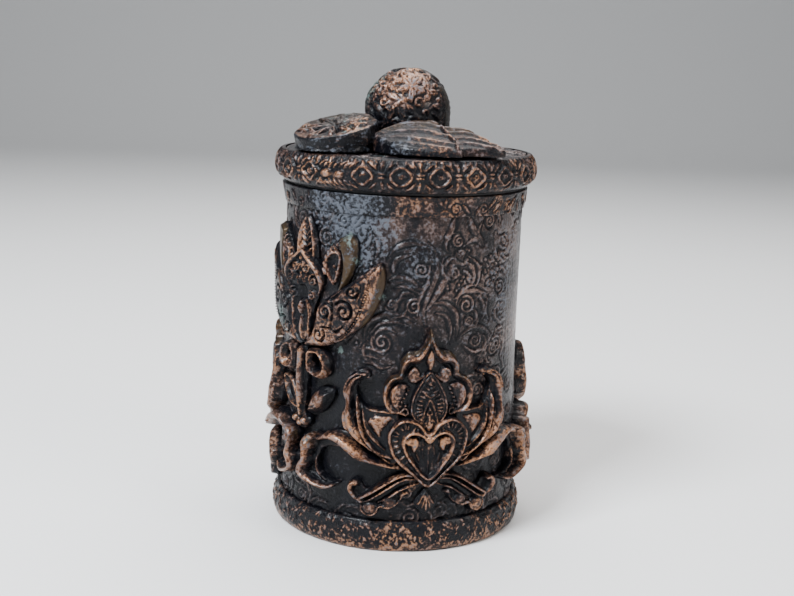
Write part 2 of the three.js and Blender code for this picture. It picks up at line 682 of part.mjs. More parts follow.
// Rosette: a wedge on the lid carries a tilted, petalled disc.
function addRosette() {
  const disc = (radius, wave) => Array.from({ length: rosettePetals * 3 }, (_, i) => {
    const angle = (2 * Math.PI * i) / (rosettePetals * 3);
    const r = i % 3 === 0 ? radius - wave : radius;
    return new THREE.Vector2(r * Math.cos(angle), r * Math.sin(angle));
  });
  const rosetteReach = lidCoreRadius - rosetteInset;
  const seat = lidTop + clearance;
  const foot = new THREE.Vector3(
    rosetteReach * Math.sin(rosetteBearing), -rosetteReach * Math.cos(rosetteBearing), seat);
  const up = new THREE.Vector3(0, 0, 1);
  const lean = new THREE.Vector3(-Math.sin(rosetteRiseBearing), -Math.cos(rosetteRiseBearing), 0);
  const normal = up.clone().multiplyScalar(Math.cos(rosetteTilt))
    .addScaledVector(lean, Math.sin(rosetteTilt));
  const bedMiddle = foot.clone().addScaledVector(up, rosetteBaseThickness);
  const wedge = solid(carved(disc(rosetteBaseRadius, 0), [[0, 0], [0, 2 * rosetteBaseThickness]])
    .translate(...foot)).trimByPlane([...normal.clone().negate()], -normal.dot(bedMiddle));
  addPiece("rosette_base", geometryOf(wedge), blackClay);
  const top = solid(carved(disc(rosetteRadius, rosettePetalDip), [
    [rosetteRound, 0], [0, rosetteRound], [0, rosetteThickness - rosetteRound],
    [rosetteRound, rosetteThickness], [2 * rosetteRound, rosetteThickness],
    [3 * rosetteRound, rosetteThickness - rosetteHollow],
  ]));
  const bud = solid(carved(disc(rosetteBud, 0), [[0, rosetteHollow], [0, rosetteThickness]]));
  const tilted = geometryOf(top.add(bud))
    .applyQuaternion(new THREE.Quaternion().setFromUnitVectors(up, normal));
  tilted.translate(...bedMiddle.addScaledVector(normal, clearance));
  addPiece("rosette_top", bare(tilted), copperClay);
}

// Folded wing: two tiers of feathers that rise towards the knob.
function addWing() {
  const ridge = (share) => {
    const next = Math.max(1, wingRidgeShares.findIndex(([along]) => along >= share));
    const [[low, lowRise], [high, highRise]] = wingRidgeShares.slice(next - 1);
    return lowRise + ((highRise - lowRise) * (share - low)) / (high - low);
  };
  const rise = (x, y) => {
    const depth = Math.min(1, Math.max(0, y / wingDepth));
    return wingEdge + (wingCrest - wingEdge) * depth * ridge(Math.min(1, Math.max(0, x / wingLength)));
  };
  const tier = (outline, lift) => {
    const unit = [[0, 0], [0, 0.5], [carvedShoulder, 1]];
    const geometry = splitAcross(carved(outline, unit), facetWidth);
    const position = geometry.getAttribute("position");
    for (let i = 0; i < position.count; i++)
      position.setZ(i, position.getZ(i) * (rise(position.getX(i), position.getY(i)) + lift));
    return geometry;
  };
  const front = scaled(wingFrontShares, wingLength, wingDepth);
  const back = scaled(wingBackShares, wingLength, wingDepth);
  const seat = lidTop + clearance;
  const place = (name, geometry) =>
    addPiece(name, bare(geometry.translate(wingLeft, wingInset - lidCoreRadius, seat)), copperClay);
  place("wing_front_tier", tier(front, 0));
  place("wing_back_tier", trimmed(tier(back, -wingStep), [front]));
}

addGlass();
addClayWraps();
for (let i = 0; i < lotusCount; i++) {
  const name = ["front_lotus", "right_lotus", "left_lotus"][i] ?? `lotus_${i + 1}`;
  addLotus(name, lotusBearing + (2 * Math.PI * i) / lotusCount);
}
addBlossom("blossom", blossomBearing);
addLidBody();
addRim();
addKnob();
addRosette();
addWing();

export default jar;
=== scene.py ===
import math
import random

import bmesh
import bpy
import numpy as np
from mathutils import Matrix, Vector


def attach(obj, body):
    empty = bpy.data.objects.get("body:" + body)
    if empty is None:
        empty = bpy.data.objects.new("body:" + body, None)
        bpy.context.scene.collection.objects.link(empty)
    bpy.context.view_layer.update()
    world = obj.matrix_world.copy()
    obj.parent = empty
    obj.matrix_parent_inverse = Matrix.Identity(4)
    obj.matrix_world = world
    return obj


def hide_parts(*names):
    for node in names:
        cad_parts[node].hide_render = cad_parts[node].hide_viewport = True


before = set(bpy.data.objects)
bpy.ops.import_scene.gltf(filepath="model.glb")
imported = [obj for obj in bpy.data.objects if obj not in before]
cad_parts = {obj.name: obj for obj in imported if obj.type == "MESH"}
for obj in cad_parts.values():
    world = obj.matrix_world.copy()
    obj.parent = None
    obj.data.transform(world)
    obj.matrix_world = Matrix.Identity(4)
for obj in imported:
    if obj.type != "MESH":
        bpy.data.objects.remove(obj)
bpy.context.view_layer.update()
mm = 0.001
fullTurn = 2 * math.pi

# The jar's own measures, as in the CAD model
jar = {
    "wallRadius": 40.4, "wallFootRadius": 41.6, "taperHeight": 60, "insideRadius": 37.3, "jarTop": 117.2,
    # the radius at which distances round the jar are drawn
    "drawingRadius": 44.5,
}
# how strongly copper keeps to surfaces that face outwards
rubFacing = 2.5


def wallRadiusAt(z):
    share = np.clip(np.asarray(z, float) / jar["taperHeight"], 0, 1)
    return jar["wallFootRadius"] + (jar["wallRadius"] - jar["wallFootRadius"]) * share


# Lines

def smoothLine(points, closed=False, perSpan=6):
    points = np.asarray(points, float)
    count = len(points)
    if closed:
        padded = np.vstack([points[-1:], points, points[:2]])
        spans = count
    else:
        first, last = 2 * points[0] - points[1], 2 * points[-1] - points[-2]
        padded = np.vstack([first, points, last])
        spans = count - 1
    t = np.linspace(0, 1, perSpan, endpoint=False)[:, None]
    line = []
    for k in range(spans):
        a, b, c, d = padded[k:k + 4]
        line.append(0.5 * (2 * b + (c - a) * t + (2 * a - 5 * b + 4 * c - d) * t**2
                           + (3 * b - a - 3 * c + d) * t**3))
    if not closed:
        line.append(points[-1:])
    return np.vstack(line)


def evenLine(line, step, closed=False):
    line = np.vstack([line, line[:1]]) if closed else line
    reach = np.concatenate([[0], np.cumsum(np.linalg.norm(np.diff(line, axis=0), axis=1))])
    count = max(3, int(round(reach[-1] / step)))
    at = np.linspace(0, reach[-1], count, endpoint=not closed)
    return np.column_stack([np.interp(at, reach, line[:, k]) for k in range(line.shape[1])])


def inward(line, distance):
    # a closed line that runs anticlockwise, moved towards its inside
    side = np.roll(line, -1, axis=0) - np.roll(line, 1, axis=0)
    normal = np.column_stack([-side[:, 1], side[:, 0]])
    return line + normal / np.maximum(np.linalg.norm(normal, axis=1), 1e-9)[:, None] * distance


def anticlockwise(line):
    x, y = line[:, 0], line[:, 1]
    return line if np.sum(x * np.roll(y, -1) - np.roll(x, -1) * y) > 0 else line[::-1]


def spiralLine(centre, radius, turns, start, hand=1, inner=0.12):
    share = np.linspace(0, 1, int(18 * turns) + 4)
    angle = start + hand * fullTurn * turns * share
    reach = radius * (1 - (1 - inner) * share)
    return np.column_stack([centre[0] + reach * np.cos(angle), centre[1] + reach * np.sin(angle)])


def ringLine(centre, across, up=None, corners=0.0, count=40):
    # a ring; corners above 0 draws it towards a diamond
    angle = np.linspace(0, fullTurn, count + 1)
    pull = 1 - corners * np.sin(2 * angle) ** 2
    up = across if up is None else up
    x, y = centre
    return np.column_stack([x + across * pull * np.cos(angle), y + up * pull * np.sin(angle)])


# Relief

class Relief:
    # the height that carved strokes add to a set of points, either flat or in space
    def __init__(self, points, period=None):
        self.points = np.asarray(points, float)
        self.period = period
        self.height = np.zeros(len(self.points))
        self.order = np.argsort(self.points[:, 0])
        self.across = self.points[self.order, 0]

    def between(self, low, high):
        # the points between two corners; round a jar they may lie a whole turn away
        chosen, places = [], []
        for shift in (-self.period, 0, self.period) if self.period else (0,):
            first, last = np.searchsorted(self.across, [low[0] - shift, high[0] - shift])
            some = self.order[first:last]
            place = self.points[some]
            place[:, 0] += shift
            within = np.all((place >= low) & (place <= high), axis=1)
            chosen.append(some[within])
            places.append(place[within])
        return np.concatenate(chosen), np.vstack(places)

    def nearest(self, line, reach, closed=False):
        line = np.asarray(line, float)
        if closed:
            line = np.vstack([line, line[:1]])
        chosen, points = self.between(line.min(0) - reach, line.max(0) + reach)
        gap = np.full(len(chosen), np.inf)
        share = np.zeros(len(chosen))
        lengths = np.linalg.norm(np.diff(line, axis=0), axis=1)
        total = max(lengths.sum(), 1e-9)
        done = 0.0
        for a, b, length in zip(line[:-1], line[1:], lengths):
            if length < 1e-9:
                continue
            side = (b - a) / length
            t = np.clip((points - a) @ side, 0, length)
            away = np.linalg.norm(points - a - t[:, None] * side, axis=1)
            closer = away < gap
            gap[closer] = away[closer]
            share[closer] = (done + t[closer]) / total
            done += length
        return chosen, gap, share

    def stroke(self, line, width, taper=(1, 1), closed=False):
        chosen, gap, share = self.nearest(line, width / 2, closed)
        size = np.interp(share, [0, 0.4, 0.6, 1], [taper[0], 1, 1, taper[1]])
        dome = 1 - (gap / (width / 2 * size)) ** 2
        inside = dome > 0
        return chosen[inside], dome[inside], size[inside]

    def ridge(self, line, width, height, taper=(1, 1), closed=False, power=0.8, base=0.0):
        # a power under 0.8 gives a flatter top and steeper sides
        chosen, dome, size = self.stroke(line, width, taper, closed)
        self.height[chosen] = np.maximum(self.height[chosen], base + (height * size - base) * dome**power)

    def furrow(self, line, width, depth, taper=(1, 1)):
        # a groove that isn't deepened where it crosses another one
        chosen, dome, size = self.stroke(line, width, taper)
        self.height[chosen] = np.minimum(self.height[chosen], -depth * dome**0.5)

    def overlay(self, line, width, edge, height, taper=(1, 1)):
        # a leaf with a crisp edge that hides what it lies on
        chosen, dome, size = self.stroke(line, width, taper)
        self.height[chosen] = edge + (height - edge) * dome**0.7

    def groove(self, line, width, depth, taper=(1, 1), closed=False):
        chosen, dome, size = self.stroke(line, width, taper, closed)
        self.height[chosen] -= depth * size * dome

    def boss(self, centre, radius, height):
        self.ridge(np.array([centre, np.asarray(centre) + 1e-3]), 2 * radius, height)


def insideOf(points, outline):
    x, y = points[:, 0], points[:, 1]
    inside = np.zeros(len(points), bool)
    for (ax, ay), (bx, by) in zip(outline, np.roll(outline, -1, axis=0)):
        if ay != by:
            inside ^= ((ay > y) != (by > y)) & (x < (bx - ax) * (y - ay) / (by - ay) + ax)
    return inside


def depthInside(points, outline):
    chosen, gap, _ = Relief(points).nearest(outline, 1e6, closed=True)
    away = np.zeros(len(points))
    away[chosen] = gap
    return np.where(insideOf(points, outline), away, -away)


def ease(value, low, high):
    share = np.clip((value - low) / (high - low), 0, 1)
    return share * share * (3 - 2 * share)


def roundedEdge(depth, shoulder):
    # 0 at an outline, and up a quarter circle to 1 at a depth inside it
    within = np.clip(depth / shoulder, 0, 1)
    return np.sqrt(1 - (1 - within) ** 2)


# Meshes

def readPoints(mesh, kind="vertices", name="co"):
    values = np.zeros(len(getattr(mesh, kind)) * 3, np.float32)
    getattr(mesh, kind).foreach_get(name, values)
    return values.reshape(-1, 3).astype(float)


def writePoints(mesh, points):
    mesh.vertices.foreach_set("co", np.asarray(points, np.float32).ravel())
    mesh.update()


def writeShares(mesh, name, values):
    attribute = mesh.attributes.get(name) or mesh.attributes.new(name, "FLOAT", "POINT")
    attribute.data.foreach_set("value", np.clip(values, 0, 1).astype(np.float32))


def slab(outline, voxel, thickness=3.0, hole=None):
    # an even, fine-meshed flat plate with the given outline, one unit high
    bm = bmesh.new()
    edges = []
    for loop in [outline] if hole is None else [outline, hole]:
        verts = [bm.verts.new((x, y, 0)) for x, y in loop]
        edges += [bm.edges.new(pair) for pair in zip(verts, verts[1:] + verts[:1])]
    bmesh.ops.triangle_fill(bm, use_beauty=True, use_dissolve=False, edges=edges)
    raised = bmesh.ops.extrude_face_region(bm, geom=bm.faces[:])
    lifted = [v for v in raised["geom"] if isinstance(v, bmesh.types.BMVert)]
    bmesh.ops.translate(bm, vec=(0, 0, thickness), verts=lifted)
    bmesh.ops.recalc_face_normals(bm, faces=bm.faces[:])
    mesh = remeshed(bm, voxel)
    points = readPoints(mesh)
    points[:, 2] = np.clip(points[:, 2] / thickness, 0, 1)
    writePoints(mesh, points)
    return mesh


def remeshed(bm, voxel):
    rough = bpy.data.meshes.new("rough")
    bm.to_mesh(rough)
    bm.free()
    holder = bpy.data.objects.new("holder", rough)
    bpy.context.scene.collection.objects.link(holder)
    remesh = holder.modifiers.new("even", "REMESH")
    remesh.mode = "VOXEL"
    remesh.voxel_size = voxel
    view = bpy.context.evaluated_depsgraph_get()
    mesh = bpy.data.meshes.new_from_object(holder.evaluated_get(view))
    bpy.data.objects.remove(holder)
    bpy.data.meshes.remove(rough)
    return mesh


def aroundJar(mesh):
    # its points, how far they are from the jar's axis and their bearing from the front
    points = readPoints(mesh)
    return points, np.hypot(points[:, 0], points[:, 1]), np.arctan2(points[:, 0], -points[:, 1])


def pushOut(mesh, points, bearing, push):
    points[:, 0] += push * np.sin(bearing)
    points[:, 1] -= push * np.cos(bearing)
    writePoints(mesh, points)


def outwardOf(points):
    # the direction away from the jar's axis
    reach = np.maximum(np.hypot(points[:, 0], points[:, 1]), 1e-6)
    return np.column_stack([points[:, 0] / reach, points[:, 1] / reach, np.zeros(len(points))])


def turnedMesh(profile, steps, closed=True):
    # a profile of [radius, height] carried round the jar's axis on a grid whose edges then join
    line = np.vstack([profile, profile[:1]]) if closed else np.asarray(profile)
    sides = len(line) - 1
    bm = bmesh.new()
    bmesh.ops.create_grid(bm, x_segments=sides, y_segments=steps, size=1)
    for vert in bm.verts:
        radius, height = line[round((vert.co.x + 1) / 2 * sides)]
        turn = (vert.co.y + 1) / 2 * fullTurn
        vert.co = (radius * math.cos(turn), radius * math.sin(turn), height)
    bmesh.ops.remove_doubles(bm, verts=bm.verts[:], dist=1e-4)
    bmesh.ops.recalc_face_normals(bm, faces=bm.faces[:])
    mesh = bpy.data.meshes.new("turned")
    bm.to_mesh(mesh)
    bm.free()
    return mesh


def fineProfile(points, steps):
    # each side of a profile cut into its own number of steps
    line = []
    for (a, b), count in zip(zip(points, points[1:] + points[:1]), steps):
        share = np.linspace(0, 1, count, endpoint=False)[:, None]
        line.append(np.array(a) + (np.array(b) - np.array(a)) * share)
    return np.vstack(line)


def smoothedOver(mesh, values, rounds):
    edges = np.zeros(len(mesh.edges) * 2, np.int32)
    mesh.edges.foreach_get("vertices", edges)
    a, b = edges.reshape(-1, 2).T
    count = len(values)
    ends, others = np.concatenate([a, b]), np.concatenate([b, a])
    degree = np.maximum(np.bincount(ends, minlength=count), 1)
    for _ in range(rounds):
        values = np.bincount(ends, weights=values[others], minlength=count) / degree
    return values


def crests(mesh, outward, rounds, scale, heights=None):
    # where a rubbing finger leaves copper: on points that stand above their surroundings and face out
    normals = readPoints(mesh, "vertex_normals", "vector")
    if heights is None:
        points = readPoints(mesh)
        soft = np.column_stack([smoothedOver(mesh, points[:, k], rounds) for k in range(3)])
        raised = ((points - soft) * normals).sum(1)
    else:
        raised = heights - smoothedOver(mesh, heights, rounds)
    facing = np.clip((normals * outward).sum(1), 0, 1)
    return raised / scale * facing**rubFacing


def addPiece(name, mesh, body, finish, nodes=()):
    mesh.name = name
    mesh.materials.clear()
    mesh.materials.append(finish.material)
    mesh.shade_smooth()
    piece = bpy.data.objects.new(name, mesh)
    bpy.context.scene.collection.objects.link(piece)
    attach(piece, body)
    if nodes:
        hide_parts(*nodes)
    return piece


# Shader maths

class Value:
    # a shader socket that takes part in plain sums
    def __init__(self, finish, socket):
        self.finish = finish
        self.socket = socket

    def sum(self, operation, first, second):
        return self.finish.node("ShaderNodeMath", {"operation": operation}, {0: first, 1: second})

    def __add__(self, other):
        return self.sum("ADD", self, other)

    def __radd__(self, other):
        return self.sum("ADD", other, self)

    def __sub__(self, other):
        return self.sum("SUBTRACT", self, other)

    def __rsub__(self, other):
        return self.sum("SUBTRACT", other, self)

    def __mul__(self, other):
        return self.sum("MULTIPLY", self, other)

    def __rmul__(self, other):
        return self.sum("MULTIPLY", other, self)

class Finish:
    # one material and the nodes that make it
    def __init__(self, name):
        self.material = bpy.data.materials.new(name)
        self.material.use_nodes = True
        self.tree = self.material.node_tree
        self.shader = self.tree.nodes["Principled BSDF"]
        self.place = self.node("ShaderNodeTexCoord", {}, {}, "Object")

    def node(self, kind, settings, inputs, output=0):
        made = self.tree.nodes.new(kind)
        for key, value in settings.items():
            setattr(made, key, value)
        for key, value in inputs.items():
            self.feed(made.inputs[key], value)
        return Value(self, made.outputs[output])

    def feed(self, socket, value):
        if isinstance(value, Value):
            self.tree.links.new(value.socket, socket)
        else:
            socket.default_value = value

    def set(self, **inputs):
        for key, value in inputs.items():
            self.feed(self.shader.inputs[key.replace("_", " ")], value)

    def share(self, name):
        return self.node("ShaderNodeAttribute", {"attribute_name": name}, {}, "Fac")

    def noise(self, size, detail=4, roughness=0.6, place=None):
        # size is the width of a blotch in millimetres
        return self.node("ShaderNodeTexNoise", {}, {
            "Vector": place or self.place, "Scale": 1 / (size * mm), "Detail": detail,
            "Roughness": roughness})

    def spread(self, size, detail=3):
        # a noise that uses the whole way from 0 to 1
        return self.ease(self.noise(size, detail), 0.34, 0.66)

    def ease(self, value, low, high):
        return self.node("ShaderNodeMapRange", {"interpolation_type": "SMOOTHSTEP"}, {
            "Value": value, "From Min": low, "From Max": high})

    def mix(self, share, first, second):
        return self.node("ShaderNodeMix", {"data_type": "RGBA"}, {0: share, 6: first, 7: second}, 2)

    def bump(self, height, distance, strength=1.0):
        return self.node("ShaderNodeBump", {}, {
            "Height": height, "Distance": distance * mm, "Strength": strength})


# Finishes

clayLook = {
    "dark": (0.0022, 0.0023, 0.0038, 1), "brown": (0.016, 0.009, 0.007, 1),
    "deepCopper": (0.062, 0.026, 0.015, 1), "brightCopper": (0.42, 0.2, 0.11, 1),
    "mauveCopper": (0.042, 0.026, 0.023, 1), "dustyCopper": (0.2, 0.122, 0.094, 1),
    "goldCopper": (0.37, 0.18, 0.078, 1), "gilt": (0.056, 0.036, 0.019, 1),
    # the bluish colour is dust together with a painted reflection of the sky
    "patina": (0.085, 0.115, 0.108, 1), "dust": (0.065, 0.073, 0.09, 1),
    "darkRoughness": 0.34, "copperRoughness": 0.33, "coveredRoughness": 0.2, "brownShare": 0.6,
    "copperMetal": 0.9, "giltMetal": 0.4, "shine": 0.13,
    "coat": 0.08, "copperCoat": 0.3, "coatRoughness": 0.16,
    # widths in millimetres of the unevenness from fine to broad
    "grain": 0.35, "speck": 1.1, "blotch": 3.2, "patch": 13.0,
    # from where to where each of these grows from nothing to full
    "shineRange": (0.3, 1.45), "brownRange": (0.35, 0.95), "giltRange": (0.2, 0.7), "dustAndReflectionRange": (0.3, 1.1),
    "patinaRange": (0.4, 0.9),
}


def clayFinish(name, rubFrom=0.12, rubTo=0.95, breakUp=0.5, lumps=0.13, coppers=("deep", "bright"), gold=0.6):
    # dark clay with copper rubbed on its crests, then gilt, dust with a painted reflection of the sky, and
    # green patina where the shares say so
    finish = Finish(name)
    look = clayLook
    rub, gilt, patina, dust = (finish.share(kind) for kind in ("rub", "gilt", "patina", "dust"))
    grain, speck = finish.noise(look["grain"], 4, 0.7), finish.spread(look["speck"])
    blotch, patch = finish.spread(look["blotch"]), finish.spread(look["patch"], 2)
    specks, blotches, patches = speck - 0.5, blotch - 0.5, patch - 0.5

    broken = rub + specks * breakUp + blotches * (breakUp * 0.7) + patches * 0.2
    worn = finish.ease(broken, rubFrom, rubTo)
    shine = finish.ease(broken + specks * 0.5 + patches * 0.4, *look["shineRange"])
    browned = finish.ease(blotch * 0.5 + rub * 0.9, *look["brownRange"]) * look["brownShare"]
    gilded = finish.ease(gilt + specks * 0.3, *look["giltRange"])
    # the bluish cover is dust together with a painted reflection of the sky
    dustAndReflectionCover = finish.ease(dust + specks * 0.8 + blotches * 0.4 + rub * 0.5, *look["dustAndReflectionRange"])
    greened = finish.ease(patina + specks * 0.6 + (grain - 0.5) * 0.6, *look["patinaRange"])
    bare = 1 - finish.ease(dustAndReflectionCover + greened, 0.0, 1.0)

    low, high = (look[shade + "Copper"] for shade in coppers)
    copper = finish.mix(shine, low, finish.mix(patch * gold, high, look["goldCopper"]))
    gilding = finish.mix(blotch * 0.5 + patch * 0.3, look["gilt"], look["brown"])
    colour = finish.mix(browned, look["dark"], look["brown"])
    coverings = ((worn, copper), (gilded, gilding), (dustAndReflectionCover, look["dust"]), (greened, look["patina"]))
    for share, covering in coverings:
        colour = finish.mix(share, colour, covering)
    roughness = worn * (look["copperRoughness"] - look["darkRoughness"]) + look["darkRoughness"]
    finish.set(Base_Color=colour, Metallic=(worn * look["copperMetal"] + gilded * look["giltMetal"]) * bare,
               Roughness=roughness + blotches * 0.12 + (dustAndReflectionCover + greened) * look["coveredRoughness"],
               Specular_IOR_Level=look["shine"], Coat_Weight=worn * look["copperCoat"] + look["coat"],
               Coat_Roughness=look["coatRoughness"],
               Normal=finish.bump(grain * 0.8 + speck * (1 - gilded * 0.8), lumps))
    return finish


carvedClay = clayFinish("carvedClay")
stampedClay = clayFinish("stampedClay", rubFrom=0.1, rubTo=1.05, breakUp=0.24, coppers=("mauve", "dusty"),
                         gold=0)
bandClay = clayFinish("bandClay", rubFrom=0.25, rubTo=1.0, breakUp=0.8, lumps=0.16)
print("finishes made")


# Marks on the outside of the jar

jarMarks = {
    # green specks of patina, and pale dust with a painted reflection of the sky and room, mostly on the upper
    # left and the right of the wall: distance round the jar, height, radius, strength
    "patina": [(-22, 66, 1.6, 1.2), (-19, 102.5, 3.2, 0.7), (-6.5, 85, 1.6, 0.7), (-16, 96, 2.0, 0.6),
               (-52, 74, 5, 0.6), (-48, 70, 4, 0.5), (-27, 100, 1.6, 0.4), (-31, 36, 2, 0.5)],
    "dust": [(-19, 110, 15, 0.8), (-30, 113, 9, 0.7), (-8, 104, 7, 0.45), (6, 96, 8, 0.35),
             (42, 85, 13, 0.3), (46, 100, 12, 0.25), (-15, 98, 8, 0.6)],
}


# marks of patina, and of dust with a painted reflection; dusty scales the share of dust and painted
# reflection
def marksOn(mesh, dusty=1.0):
    points, _, bearing = aroundJar(mesh)
    around, up = bearing * jar["drawingRadius"], points[:, 2] / mm
    for kind, marks in jarMarks.items():
        amount = np.zeros(len(points))
        for u, z, radius, strength in marks:
            away = np.hypot(around - u, up - z) / radius
            amount = np.maximum(amount, strength * np.clip(1.25 - away, 0, 1))
        writeShares(mesh, kind, amount * (dusty if kind == "dust" else 1))


# Carved sprays

plateLook = {
    "buried": 0.3, "crestRub": 0.5, "standingRub": 0.4,
    # rounds of smoothing that fine and broad crests are measured against, and the height of a full one
    "crests": [(12, 0.6), (70, 1.2)],
}
# how flat the top of a ridge is, from a full dome to a flat band with steep sides
domes = {"round": 0.8, "blunt": 0.6, "square": 0.55, "flat": 0.5}


def bent(mesh, bearing, foot):
    # a flat carved plate laid round the wall
    points = readPoints(mesh)
    z = foot + points[:, 1]
    angle = bearing + points[:, 0] / jar["drawingRadius"]
    radius = wallRadiusAt(z) + points[:, 2]
    placed = np.column_stack([radius * np.sin(angle), -radius * np.cos(angle), z]) * mm
    wrapped = mesh.copy()
    writePoints(wrapped, placed)
    return wrapped


def carvedPlate(outline, carve, edge, floor, rubBase=0.1, shoulder=1.0, voxel=0.3, hole=None, paint=None):
    # carve(relief, depth) draws the strokes and gives what is added to the floor under them;
    # paint(flat, depth) gives what is added to the copper and the share of gilt
    mesh = slab(outline, voxel, hole=hole)
    points = readPoints(mesh)
    flat = points[:, :2]
    depth = depthInside(flat, outline)
    if hole is not None:
        depth = np.minimum(depth, -depthInside(flat, hole))
    depth = np.maximum(depth, 0)
    relief = Relief(flat)
    ground = floor + carve(relief, depth)
    top = edge + (ground + relief.height - edge) * roundedEdge(depth, shoulder)
    points[:, 2] = points[:, 2] * (top + plateLook["buried"]) - plateLook["buried"]
    writePoints(mesh, points)
    heights = points[:, 2]
    rub = rubBase
    for rounds, fullHeight in plateLook["crests"]:
        rub = rub + plateLook["crestRub"] * crests(mesh, [0, 0, 1], rounds, fullHeight, heights)
    # rubbing also reaches the whole of the forms that stand highest
    rub += plateLook["standingRub"] * ease(relief.height / max(relief.height.max(), 1), 0.25, 0.8)
    more, gilt = paint(flat, depth) if paint else (0, 0)
    high = ease(heights, edge * 0.5, edge + 0.9)
    writeShares(mesh, "rub", (rub + more) * high)
    writeShares(mesh, "gilt", gilt * high)
    return mesh


class Spray:
    # a whole spray, or its left (-1) or right (1) half; it turns shares into millimetres
    def __init__(self, sizes, sign=0):
        self.sizes = sizes
        self.sign = sign
        self.scale = np.array([sizes["halfSpan"] * (sign or 1), sizes["height"]])

    def at(self, x, y):
        return np.array([x, y]) * self.scale

    def line(self, points):
        return smoothLine(np.array(points) * self.scale)

    def outline(self, name):
        # a named outline; that of a whole spray is drawn as its right half
        points = np.array(self.sizes[name])
        if not self.sign:
            points = np.vstack([points, points[-2:0:-1] * [-1, 1]])
        return anticlockwise(evenLine(smoothLine(points * self.scale, closed=True), 0.5, True))

    def curl(self, x, y, radius, turns, degrees, hand=1, inner=0.12):
        start = math.radians(degrees)
        if self.sign < 0:
            start, hand = math.pi - start, -hand
        return spiralLine(self.at(x, y), radius, turns, start, hand, inner)

    def draw(self, relief, name):
        # named strokes: kind, width, height or depth, the share of both left at their ends, points
        for kind, width, height, ends, points in self.sizes[name]:
            if kind == "groove":
                relief.groove(self.line(points), width, height, ends)
            else:
                relief.ridge(self.line(points), width, height, ends, power=domes[kind])

    def spots(self, flat, name):
        # named soft spots that add up: strength, place, reach across and up in millimetres
        return sum(strength * near(flat, self.at(x, y), across, up)
                   for strength, x, y, across, up in self.sizes[name])

    def plate(self, name, carve, paint=None, hole=None):
        return carvedPlate(self.outline(name), carve, paint=paint, hole=hole, **self.sizes["plates"][name])


def rims(relief, outline, strokes):
    # raised lines that follow an outline: distance inside it, width, height, kind
    for distance, width, height, kind in strokes:
        relief.ridge(inward(outline, distance), width, height, closed=True, power=domes[kind])


def hatch(relief, outline, fromDepth, toDepth, count, width=0.7, height=0.9):
    # short strokes set square to a closed line, from one depth inside it to another
    line = evenLine(outline, 0.3, True)
    outer, inner = inward(line, fromDepth), inward(line, toDepth)
    for k in np.linspace(0, len(line) - 1, count).astype(int):
        relief.ridge(np.array([outer[k], inner[k]]), width, height, (0.8, 1))


def pad(relief, outline, height, shoulder=0.9):
    # a raised form with a round edge
    rounded = roundedEdge(depthInside(relief.points, outline), shoulder)
    relief.height = np.maximum(relief.height, height * rounded)


def near(flat, centre, across, up):
    # 1 at a place on a plate, falling to 0 at the given distances from it
    away = np.hypot((flat[:, 0] - centre[0]) / across, (flat[:, 1] - centre[1]) / up)
    return 1 - ease(away, 0.35, 1.1)


# Lotus sprays. Outlines and strokes are in shares of the half span and the height

